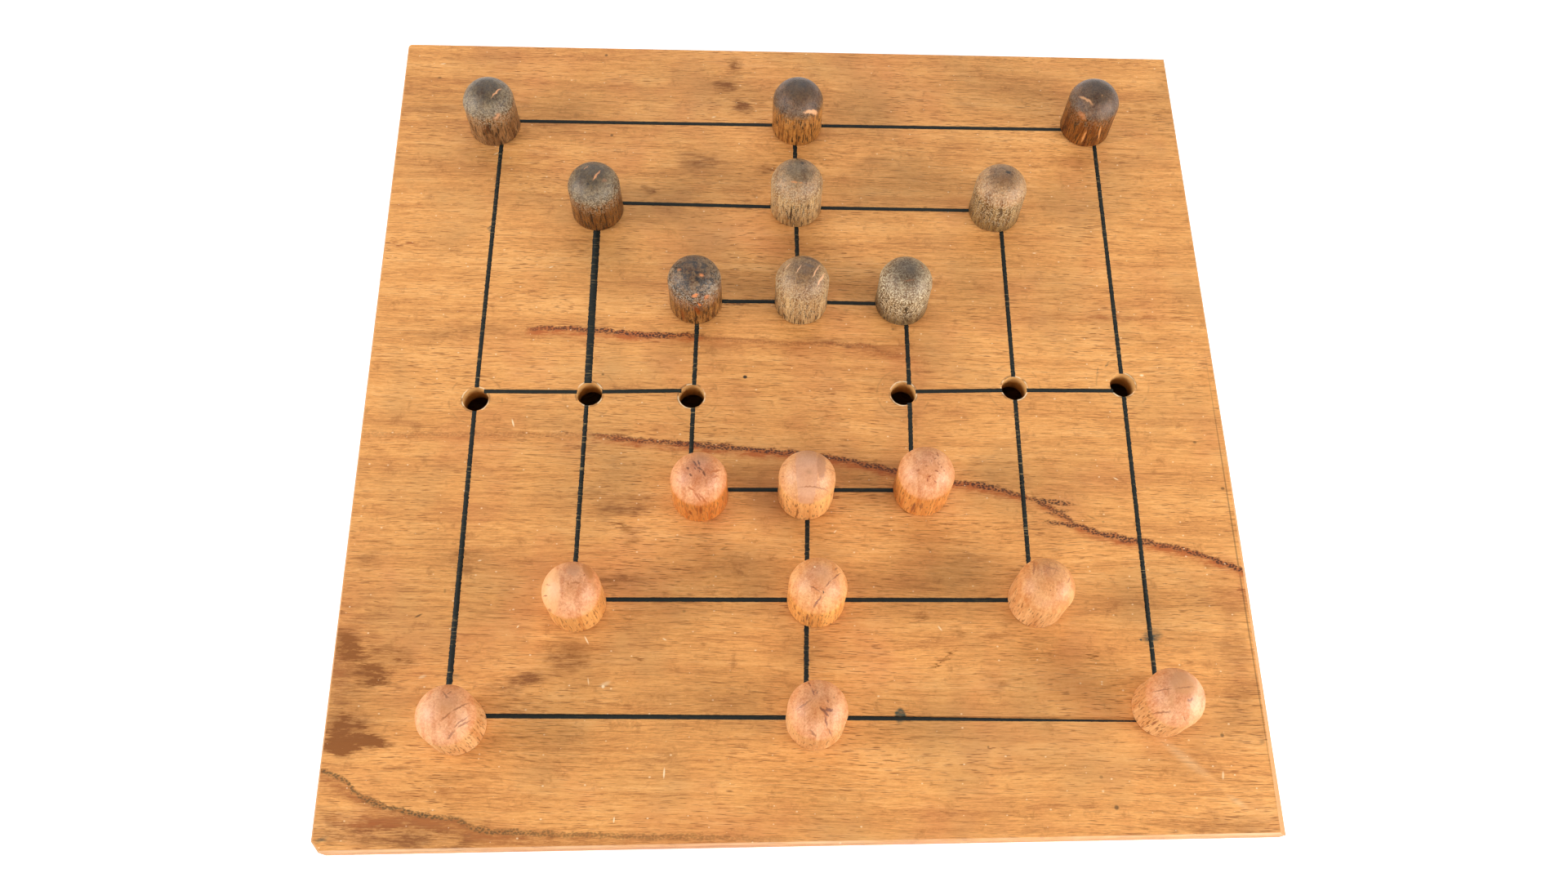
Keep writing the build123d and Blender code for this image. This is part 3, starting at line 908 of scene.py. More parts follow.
@dataclass(frozen=True)
class HandledDowel:
    """Beech dowel, turned and domed, then polished by many hands.

    Gives the eye upright flecks on the side, rings across the domed end, and a soft double
    gleam. The dark set is stained, and greyed, browned or bleached by age on the domes.
    """

    name: str
    side: str
    dome: str
    apex: str
    shade: str = "#cdbba6"  # what a dark fibre leaves of the colour
    fleck: str = "#8e5628"
    fleck_cover: float = 0.58
    mottle: str = "#3a2a1e"
    mottle_depth: float = 0.0
    speckle_and_glint: str = "#d8c49c"  # grains of worn filler and painted glints of the end grain, where the dome meets the side
    speckle_and_glint_depth: float = 0.0
    speckle_and_glint_belt: tuple[float, float] = (12.2, 6.6)  # its middle height and its width
    net: str = "#a05a2c"  # fine cracks that run all ways
    turns: tuple[float, float] = (9.0, 16.0)  # heights between which side turns into apex, mm
    dome_foot: tuple[float, float] = (9.8, 10.8)  # heights between which the dome starts
    ring_width: float = 1.6  # mm
    ring_turn: float = 0.0  # degrees
    ring_depth: float = 0.15
    rough: float = 0.40
    gloss: float = 0.35
    contrast: float = 1.0
    relief: float = 0.03  # mm
    paints: Mapping[str, Sequence[Mark]] = field(default_factory=dict)  # on the dome, from above
    side_paints: Mapping[str, Sequence[Mark]] = field(default_factory=dict)  # unrolled from the front
    crackle: tuple[Mark, ...] = ()

    def paint(self, tree: NodeTree, place: Any, on: Any, paints: Mapping[str, Sequence[Mark]]) -> Coats:
        """Turn painted marks into coats.

        Args:
            tree: the material's tree.
            place: where the surface is, in millimetres.
            on: the mask of the part that takes them.
            paints: for each colour, its marks.

        Returns:
            The coats.
        """
        return [
            (add(tree, "Math MULTIPLY", marked(tree, place, marks), on), paint)
            for paint, marks in paints.items()
        ]

    def wood(self, tree: NodeTree, place: Any, seed: float) -> tuple[Any, Any, Any, Any]:
        """The beech itself.

        Args:
            tree: the material's tree.
            place: where the surface is, in millimetres.
            seed: moves the figure, so that no two pegs share one.

        Returns:
            The outputs of its figure, its shade, its blots and its fine grains.
        """
        seeded = add(tree, "VectorMath ADD", place, (seed * 31.7, seed * 17.3, seed * 5.1))
        way = add(tree, "Mapping", seeded, (0, 0, 0), Grain.ALONG_Z.value)
        figure = add(
            tree, "Group", node_tree=wood_figure(), Place=way, Band=1.6, Streak=0.45, Fibre=0.28, Fleck=0.9,
            Pore=0.38, Pore_Length=2.6, Pore_Cover=self.fleck_cover, Wander=1.5
        ).outputs
        blots = add(tree, "TexNoise", seeded, Scale=0.75, Detail=4, Roughness=0.72)
        grains = add(tree, "TexNoise", seeded, Scale=2.7, Detail=2, Roughness=0.7)
        rings = add(
            tree, "Mapping", place, (seed, 0, 0), (0, 0, math.radians(self.ring_turn)),
            (1 / self.ring_width, 0.12, 0.03)
        )
        rings = add(tree, "TexNoise", rings, Scale=1, Detail=1.5)
        rings = add(tree, "MapRange", rings, 0.47, 0.53, 0, self.ring_depth)
        weights = (("Bands", 0.6), ("Streaks", 0.9), ("Fibres", 0.9), ("Flecks", 0.35))
        tone = add(tree, "Math SUBTRACT", 0.55, rings)
        tone = swung(tree, tone, [(figure[layer], weight * self.contrast) for layer, weight in weights])
        shade = add(tree, "ValToRGB", tone, ramp=[(0.15, self.shade), (0.72, "#ffffff")])
        return figure, shade, blots, grains

    def wear(
        self, tree: NodeTree, place: Any, on_dome: Any, blots: Any, grains: Any, radius: float
    ) -> Coats:
        """What age and play have left on this one peg.

        Args:
            tree: the material's tree.
            place: where the surface is, in millimetres.
            on_dome: the mask of the dome.
            blots: the wood's blots.
            grains: its fine grains.
            radius: the peg's radius, in millimetres.

        Returns:
            The coats: mottle, grains of worn filler with painted glints, and the peg's own marks.
        """
        coats = []
        split = add(tree, "SeparateXYZ", place).outputs
        if self.mottle_depth:
            mask = add(tree, "MapRange", blots, 0.5, 0.54, 0, self.mottle_depth)
            part = add(tree, "MapRange", on_dome, 0, 1, 0.4, 1)
            coats.append((add(tree, "Math MULTIPLY", mask, part), self.mottle))
        # Pale specks: partly worn filler, partly painted glints where end grain catches the light.
        if self.speckle_and_glint_depth:
            middle, width = self.speckle_and_glint_belt
            belt = Mark(middle, 0, width, 9, 0, self.speckle_and_glint_depth, 0.9)
            belt = marked(tree, add(tree, "CombineXYZ", split["Z"]), [belt])
            mask = add(tree, "MapRange", grains, 0.52, 0.56)
            coats.append((add(tree, "Math MULTIPLY", mask, belt), self.speckle_and_glint))
        bent = jitter(tree, place, (0.9, 0.9, 0.9), (0.8, 0.8, 0))
        coats += self.paint(tree, bent, on_dome, self.paints)
        if self.side_paints:
            toward = add(tree, "Math MULTIPLY", split["Y"], -1)
            turn = add(tree, "Math ARCTAN2", split["X"], toward)
            arc = add(tree, "Math MULTIPLY", turn, radius)
            unrolled = add(tree, "CombineXYZ", arc, split["Z"])
            unrolled = jitter(tree, unrolled, (0.5, 1.6, 1), (0.5, 0.3, 0))
            under_dome = add(tree, "Math SUBTRACT", 1, on_dome)
            coats += self.paint(tree, unrolled, under_dome, self.side_paints)
        if self.crackle:
            cells = add(
                tree, "TexVoronoi", bent, Scale=0.62, feature="DISTANCE_TO_EDGE", voronoi_dimensions="2D"
            )
            mask = add(tree, "MapRange", cells, 0.085, 0.03)
            area = marked(tree, place, self.crackle)
            coats.append((add(tree, "Math MULTIPLY", mask, area), self.net))
        return coats

    def material(self, centre: Vector, shoulder: float, seed: float, radius: float) -> Material:
        """Build the material for one peg.

        Args:
            centre: the middle of the peg, in metres.
            shoulder: the height of its shoulder, in metres.
            seed: moves the figure, so that no two pegs share one.
            radius: its radius, in millimetres.

        Returns:
            The material.
        """
        material, tree, place = surface(self.name, (centre.x, centre.y, shoulder))
        figure, shade, blots, grains = self.wood(tree, place, seed)
        # Side, dome and apex have each taken their own colour, with a ragged line between.
        height = add(tree, "SeparateXYZ", place).outputs["Z"]
        ragged = add(tree, "Math ADD", add(tree, "Math MULTIPLY_ADD", blots, 2.2, -1.1), height)
        zone = add(tree, "MapRange", ragged, *self.turns)
        base = add(
            tree, "ValToRGB", zone,
            ramp=[(0.14, self.side), (0.9, self.apex), (0.34, self.dome), (0.68, self.dome)]
        )
        colour = add(tree, "Mix", 1, A=base, B=shade, data_type="RGBA", blend_type="MULTIPLY")
        on_dome = add(tree, "MapRange", height, *self.dome_foot)
        fewer = add(tree, "MapRange", on_dome, 0, 1, 0.85, 0.2)
        flecks = add(tree, "Math MULTIPLY", figure["Pores"], fewer)
        coats = self.wear(tree, place, on_dome, blots, grains, radius)
        colour = laid_over(tree, colour, [(flecks, self.fleck), *coats])
        rough = add(tree, "MapRange", grains, 0.35, 0.65, self.rough - 0.04, self.rough + 0.08)
        relief = add(tree, "Math MULTIPLY_ADD", flecks, -1, figure["Fibres"])
        relief = add(tree, "Math MULTIPLY_ADD", grains, 1.2, relief)
        finish_surface(tree, colour, rough, relief, self.relief, Specular_IOR_Level=self.gloss)
        return material


@dataclass(frozen=True)
class PlanedHardwood:
    """Planed and oiled hardwood of the case and battens.

    Gives the eye the board's own wood without its stains: even bands, fine pores, dots on the
    end grain, and a handled sheen.
    """

    name: str
    grain: Grain
    light: str = "#dea468"
    middle: str = "#cc9054"
    dark: str = "#ad743f"
    pore: str = "#84502a"
    grime: str = "#86603a"
    grime_size: float = 14.0  # mm
    offset: tuple[float, float, float] = (13, 7, 5)  # where the part lay in the tree, mm

    def material(self) -> Material:
        """Build the material.

        Returns:
            The material.
        """
        material, tree, place = surface(self.name)
        shifted = add(tree, "VectorMath ADD", place, self.offset)
        way = add(tree, "Mapping", shifted, (0, 0, 0), self.grain.value)
        figure = add(
            tree, "Group", node_tree=wood_figure(), Place=way, Band=3.6, Streak=0.9, Fibre=0.34, Fleck=0.45,
            Pore=0.26, Pore_Length=4.5, Pore_Cover=0.6, Wander=3
        ).outputs
        weights = (("Bands", 0.9), ("Streaks", 0.8), ("Fibres", 0.9), ("Flecks", 0.4))
        tone = swung(tree, 0.5, [(figure[layer], weight) for layer, weight in weights])
        colour = add(tree, "ValToRGB", tone, ramp=[(0.18, self.dark), (0.82, self.light), (0.5, self.middle)])
        pores = add(tree, "Math MULTIPLY", figure["Pores"], 0.6)
        # Years of handling leave grey in soft patches.
        grime = add(tree, "TexNoise", place, Scale=1 / self.grime_size, Detail=4)
        grime = add(tree, "MapRange", grime, 0.52, 0.75, 0, 0.4)
        colour = laid_over(tree, colour, ((pores, self.pore), (grime, self.grime)))
        rough = add(tree, "MapRange", figure["Fibres"], 0.3, 0.7, 0.62, 0.5)
        relief = add(tree, "Math MULTIPLY_ADD", pores, -1, figure["Fibres"])
        finish_surface(tree, colour, rough, relief, 0.05)
        return material


@dataclass(frozen=True)
class RotaryPlywood:
    """Rotary-cut thin plywood of the case's bottom, left bare.

    Gives the eye a pale, dry, dull face with broad wandering cathedrals, and at the edges
    three plies, the middle one darker.
    """

    name: str = "rotary_plywood"
    light: str = "#dfb887"
    dark: str = "#c0905c"
    core: str = "#8f6339"
    pore: str = "#976334"
    stain: str = "#a57a4e"
    stain_size: float = 25.0  # mm
    contours: float = 26.0  # radians of ring from one growth band to the next
    glue: float = 0.1  # mm
    plies: tuple[float, float] = (1.2, 2.8)  # heights of the glue lines, mm

    def material(self) -> Material:
        """Build the material.

        Returns:
            The material.
        """
        material, tree, place = surface(self.name)
        figure = add(
            tree, "Group", node_tree=wood_figure(), Place=place, Band=9, Streak=2.2, Fibre=0.45, Fleck=0.6,
            Pore=0.3, Pore_Length=6, Pore_Cover=0.6, Wander=16
        ).outputs
        # A rotary cut shows each ring as one wandering contour.
        rings = add(tree, "Math SINE", add(tree, "Math MULTIPLY", figure["Bands"], self.contours))
        tone = add(tree, "Math MULTIPLY_ADD", rings, 0.16, figure["Fibres"])
        tone = add(tree, "Math MULTIPLY_ADD", figure["Streaks"], 0.5, tone)
        colour = add(tree, "ValToRGB", tone, ramp=[(0.5, self.dark), (0.98, self.light)])
        height = add(tree, "SeparateXYZ", place).outputs["Z"]
        low, high = self.plies
        middle = add(tree, "Math ABSOLUTE", add(tree, "Math SUBTRACT", height, (low + high) / 2))
        core = add(tree, "MapRange", middle, (high - low) / 2, (high - low) / 2 - self.glue, 0, 0.8)
        pores = add(tree, "Math MULTIPLY", figure["Pores"], 0.5)
        spots = add(tree, "TexNoise", place, Scale=1 / self.stain_size, Detail=4)
        spots = add(tree, "MapRange", spots, 0.54, 0.74, 0, 0.45)
        colour = laid_over(tree, colour, ((pores, self.pore), (core, self.core), (spots, self.stain)))
        rough = add(tree, "MapRange", figure["Fibres"], 0.3, 0.7, 0.82, 0.68)
        relief = add(tree, "Math MULTIPLY_ADD", pores, -1, figure["Fibres"])
        finish_surface(tree, colour, rough, relief, 0.07)
        return material


@dataclass(frozen=True)
class DrawnWire:
    """Bright drawn steel wire, dulled and spotted with rust.

    Gives the eye small grey discs with a soft gleam and brown bloom.
    """

    name: str = "drawn_steel_wire"
    steel: str = "#a7a39b"
    rust: str = "#6f4426"

    def material(self) -> Material:
        """Build the material.

        Returns:
            The material.
        """
        material, tree, place = surface(self.name)
        bloom = add(tree, "TexNoise", place, Scale=1.1, Detail=4, Roughness=0.7)
        spots = add(tree, "MapRange", bloom, 0.5, 0.62, 0, 0.85)
        colour = laid_over(tree, linear(self.steel), ((spots, self.rust),))
        metal = add(tree, "Math SUBTRACT", 1, spots)
        rough = add(tree, "MapRange", bloom, 0.4, 0.7, 0.38, 0.8)
        finish_surface(tree, colour, rough, bloom, 0.05, Metallic=metal)
        return material


# --- Geometry trees ------------------------------------------------------------------------
def geometry_tree(name: str, sockets: Sequence[tuple[str, str]]) -> tuple[NodeTree, Any]:
    """Start a geometry tree.

    Args:
        name: its name.
        sockets: its inputs after the geometry, as (name, kind of socket).

    Returns:
        The tree, with a Geometry input and output, and its input sockets.
    """
    tree = bpy.data.node_groups.new(name, "GeometryNodeTree")
    tree.interface.new_socket("Geometry", in_out="INPUT", socket_type="NodeSocketGeometry")
    tree.interface.new_socket("Geometry", in_out="OUTPUT", socket_type="NodeSocketGeometry")
    for label, kind in sockets:
        tree.interface.new_socket(label, in_out="INPUT", socket_type="NodeSocket" + kind)
    return tree, add(tree, "NodeGroupInput").outputs


def end_tree(tree: NodeTree, geometry: Any, material: Any) -> NodeTree:
    """End a geometry tree: realize what it made, and give it its material.

    Args:
        tree: the tree.
        geometry: what it made.
        material: the socket of the material.

    Returns:
        The tree.
    """
    real = add(tree, "RealizeInstances", geometry)
    add(tree, "NodeGroupOutput", add(tree, "SetMaterial", real, Material=material))
    return tree


def run_tree(name: str, mesh: Mesh, tree: NodeTree, values: dict[str, Any]) -> Object:
    """Run a geometry tree on a mesh, its inputs set before the first evaluation.

    Args:
        name: the name of the finished piece.
        mesh: what goes in.
        tree: the tree.
        values: its inputs, by name.

    Returns:
        The finished piece, a plain mesh with no modifier on it.
    """
    host = new_object(name + "_host", mesh)
    modifier = host.modifiers.new(tree.name, "NODES")
    modifier.node_group = tree
    for item in tree.interface.items_tree:
        if item.item_type == "SOCKET" and item.in_out == "INPUT" and item.name in values:
            modifier[item.identifier] = values[item.name]
    return plain_mesh(host, name)


def path_mesh(
    name: str, points: Sequence[Sequence[float]], edges: Sequence[tuple[int, int]], **attributes: Any
) -> Mesh:
    """Make a mesh of bare points and edges.

    Args:
        name: its name.
        points: where the points are, in metres.
        edges: the pairs that are joined.
        attributes: for each named attribute, its number or vector at each point.

    Returns:
        The mesh.
    """
    mesh = bpy.data.meshes.new(name)
    mesh.from_pydata([tuple(p) for p in points], edges, [])
    for label, values in attributes.items():
        if isinstance(values[0], (int, float)):
            mesh.attributes.new(label, "FLOAT", "POINT").data.foreach_set("value", values)
        else:
            flat = [part for value in values for part in value]
            mesh.attributes.new(label, "FLOAT_VECTOR", "POINT").data.foreach_set("vector", flat)
    return mesh


@cache
def lathe_tree() -> NodeTree:
    """The lathe: turns a profile of edges in the XZ plane into a closed solid.

    The profile runs from the top of the axis to its foot. Its corners are eased, it is divided
    evenly, swept round Z and closed at both poles, and worn inwards by seeded noise above the
    given height.

    Returns:
        The tree, made once.
    """
    tree, given = geometry_tree(
        "lathe",
        (
            ("Step", "Float"), ("Sides", "Int"), ("Wear", "Float"), ("Wear Size", "Float"),
            ("Worn Above", "Float"), ("Seed", "Float"), ("Place", "Vector"), ("Material", "Material")
        )
    )
    line = add(tree, "MeshToCurve", given["Geometry"])
    ease = add(tree, "InputNamedAttribute", "ease", data_type="FLOAT")
    line = add(tree, "FilletCurve", line, mode="POLY", Radius=ease, Count=4)
    line = add(tree, "ResampleCurve", line, mode="LENGTH", Length=given["Step"])
    # A grid takes the profile row by row, each column turned by its share of a circle.
    at = add(tree, "InputPosition")
    rows = add(tree, "AttributeDomainSize", line, component="CURVE").outputs["Point Count"]
    columns = add(tree, "Math ADD", given["Sides"], 1)
    grid = add(tree, "MeshGrid", Size_X=1, Size_Y=1, Vertices_X=rows, Vertices_Y=columns)
    index = add(tree, "InputIndex")
    row = add(tree, "Math FLOOR", add(tree, "Math DIVIDE", index, columns))
    column = add(tree, "Math MODULO", index, columns)
    turn = add(tree, "Math MULTIPLY", add(tree, "Math DIVIDE", column, given["Sides"]), 2 * math.pi)
    point = add(tree, "SampleIndex", line, at, data_type="FLOAT_VECTOR", domain="POINT", Index=row)
    parts = add(tree, "SeparateXYZ", point).outputs
    x = add(tree, "Math MULTIPLY", parts["X"], add(tree, "Math COSINE", turn))
    y = add(tree, "Math MULTIPLY", parts["X"], add(tree, "Math SINE", turn))
    place = add(tree, "CombineXYZ", x, y, parts["Z"])
    swept = add(tree, "SetPosition", grid, None, place)
    closed = add(tree, "MergeByDistance", swept, Distance=POLE_GAP)
    # Wear only takes wood away: noise, times how far above the limit the point is.
    size = add(tree, "Math DIVIDE", 1, given["Wear Size"])
    spread = add(tree, "VectorMath SCALE", at, Scale=size)
    seeded = add(tree, "VectorMath ADD", spread, given["Seed"])
    noise = add(tree, "TexNoise", seeded, Scale=1, Detail=1.5)
    height = add(tree, "SeparateXYZ", at).outputs["Z"]
    top = add(tree, "Math ADD", given["Worn Above"], WEAR_RISE)
    share = add(tree, "MapRange", height, given["Worn Above"], top, 0, -1)
    depth = add(tree, "Math MULTIPLY", add(tree, "Math MULTIPLY", noise, given["Wear"]), share)
    normal = add(tree, "InputNormal")
    inward = add(tree, "VectorMath SCALE", normal, Scale=depth)
    worn = add(tree, "SetPosition", closed, Offset=inward)
    moved = add(tree, "Transform", worn, Translation=given["Place"])
    return end_tree(tree, add(tree, "SetShadeSmooth", moved), given["Material"])


def ribbon_tree() -> NodeTree:
    """The scribe: turns straight edges into flat ribbons of ink with frayed sides.

    Each edge carries its half width and, as a vector, how far its sides may fray and which way.

    Returns:
        The tree, made once.
    """
    tree, given = geometry_tree(
        "scribe",
        (
            ("Step", "Float"), ("Top", "Float"), ("Foot", "Float"), ("Fray Size", "Vector"),
            ("Material", "Material")
        )
    )
    line = add(tree, "MeshToCurve", given["Geometry"])
    line = add(tree, "ResampleCurve", line, mode="LENGTH", Length=given["Step"])
    profile = add(tree, "CurvePrimitiveQuadrilateral", 2, 0.2)
    half = add(tree, "InputNamedAttribute", "half", data_type="FLOAT")
    band = add(tree, "CurveToMesh", line, profile, Scale=half, Fill_Caps=True)
    at = add(tree, "InputPosition")
    parts = add(tree, "SeparateXYZ", at).outputs
    middle = add(tree, "Math MULTIPLY", add(tree, "Math ADD", given["Top"], given["Foot"]), 0.5)
    upper = add(tree, "Math GREATER_THAN", parts["Z"], middle)
    thick = add(tree, "Math SUBTRACT", given["Top"], given["Foot"])
    height = add(tree, "Math MULTIPLY_ADD", upper, thick, given["Foot"])
    level = add(tree, "CombineXYZ", parts["X"], parts["Y"], height)
    flat = add(tree, "CombineXYZ", parts["X"], parts["Y"])
    step = add(tree, "VectorMath DIVIDE", flat, given["Fray Size"])
    noise = add(tree, "TexNoise", step, Scale=1, Detail=2, Roughness=0.7)
    swing = add(tree, "MapRange", noise.outputs["Fac"], 0.25, 0.75, -1, 1)
    fray = add(tree, "InputNamedAttribute", "fray", data_type="FLOAT_VECTOR")
    fray = add(tree, "VectorMath SCALE", fray, Scale=swing)
    frayed = add(tree, "SetPosition", band, None, level, Offset=fray)
    return end_tree(tree, frayed, given["Material"])


@cache
def drive_tree() -> NodeTree:
    """The hammer: drives one pin at each point, its head towards the point's own direction.

    Returns:
        The tree, made once.
    """
    tree, given = geometry_tree("hammer", (("Pin", "Object"), ("Material", "Material")))
    points = add(tree, "MeshToPoints", given["Geometry"])
    toward = add(tree, "InputNamedAttribute", "toward", data_type="FLOAT_VECTOR")
    turn = add(tree, "FunctionNodeAlignRotationToVector", Vector=toward, axis="Z")
    pin = add(tree, "GeometryNodeObjectInfo", given["Pin"]).outputs["Geometry"]
    driven = add(tree, "InstanceOnPoints", points, Instance=pin, Rotation=turn)
    return end_tree(tree, driven, given["Material"])


def turn_on_lathe(name: str, outline: Sequence[Sequence[float]], values: dict[str, Any]) -> Object:
    """Turn a piece on the lathe.

    Args:
        name: the name of the finished piece.
        outline: (radius, height, ease) of each corner in millimetres, down from the axis's top.
        values: the inputs of the lathe, by name.

    Returns:
        The finished piece.
    """
    mesh = path_mesh(
        name + "_profile", [(r * MM, 0, z * MM) for r, z, _ in outline],
        [(n, n + 1) for n in range(len(outline) - 1)], ease=[ease * MM for _, _, ease in outline]
    )
    return run_tree(name, mesh, lathe_tree(), values)


# --- Sub-assemblies ------------------------------------------------------------------------
@dataclass
class Peg:
    """One domed peg with a turned shank. Sizes in millimetres."""

    node: str
    finish: HandledDowel
    seed: float
    radius: float = 6.35
    height: float = 15.5
    dome: float = 5.0
    shank_radius: float = 2.925
    shank: float = 9.0
    chamfer: float = 0.5
    arris: float = 0.4  # how round the edge between side and dome is worn
    wear: float = 0.12
    wear_size: float = 3.5  # how wide one worn spot is
    worn_above: float = 0.4
    step: float = 0.3  # between the rows of the lathe
    sides: int = 72
    arcs: int = 24  # straight pieces in the outline of the dome

    def profile(self) -> list[tuple[float, float, float]]:
        """The peg's half outline.

        Returns:
            (radius, height, ease) of each corner, from the top of the axis to its foot.
        """
        ball = (self.radius**2 + self.dome**2) / (2 * self.dome)
        middle = self.height - ball
        side = self.height - self.dome
        rise = math.asin((side - middle) / ball)
        points = [(0.0, self.height, 0.0)]
        for arc in range(1, self.arcs):
            angle = math.pi / 2 + (rise - math.pi / 2) * arc / self.arcs
            points.append((ball * math.cos(angle), middle + ball * math.sin(angle), 0.0))
        return points + [
            (self.radius, side, self.arris), (self.radius, 0.0, 0.25), (self.shank_radius, 0.0, 0.15),
            (self.shank_radius, self.chamfer - self.shank, 0.1),
            (self.shank_radius - self.chamfer, -self.shank, 0.1), (0.0, -self.shank, 0.0)
        ]

    def build(self) -> Object:
        """Turn the peg on the lathe, in its place.

        Returns:
            The finished piece.
        """
        low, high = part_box(self.node)
        centre = (low + high) / 2
        shoulder = high.z - self.height * MM
        return turn_on_lathe(
            self.node.replace("_peg_", "_domed_peg_"), self.profile(),
            {
                "Step": self.step * MM, "Sides": self.sides, "Wear": self.wear * MM,
                "Wear Size": self.wear_size * MM, "Worn Above": self.worn_above * MM,
                "Seed": self.seed * SEED_STRIDE, "Place": (centre.x, centre.y, shoulder),
                "Material": self.finish.material(centre, shoulder, self.seed, self.radius)
            }
        )

    def dress(self) -> None:
        """Build the peg and let it ride on its own body."""
        slot = self.node.split("_")[0] + "_peg_wood"
        place_on_body(self.build(), self.node, slot, self.node)


GREYED = HandledDowel(
    "greyed_stained_beech", "#9a7046", "#877458", "#5d4c36", shade="#97795a", fleck="#32200f",
    mottle="#42382e", mottle_depth=0.55, speckle_and_glint="#c0b193", speckle_and_glint_depth=0.5, rough=0.30, gloss=0.30,
    contrast=1.15, relief=0.08, fleck_cover=0.55, speckle_and_glint_belt=(10.5, 10.0)
)
BROWNED = replace(
    GREYED, name="browned_stained_beech", side="#ad7334", dome="#765539", apex="#58422c", shade="#8e6a46",
    mottle="#3e2f22", mottle_depth=0.4, speckle_and_glint_depth=0.2
)
BLEACHED = replace(
    GREYED, name="bleached_stained_beech", side="#c9a26b", dome="#b38b60", apex="#7d6243", shade="#a08262",
    fleck="#35251a", mottle="#6b543c", mottle_depth=0.4, speckle_and_glint="#dcc8a0", speckle_and_glint_depth=0.6,
    speckle_and_glint_belt=(8.5, 17.0)
)
HONEY = HandledDowel(
    "turned_beech", "#e6b278", "#eaac7a", "#e3a475", shade="#d8b592", contrast=0.9, ring_depth=0.16,
    relief=0.05, gloss=0.45
)
PINK = replace(HONEY, name="steamed_beech", side="#e2a45a", dome="#ebaa78", apex="#dc9c6c")
CRACK, SCORE, PIT, BARE = "#84462a", "#a2643a", "#1c1510", "#e0a070"

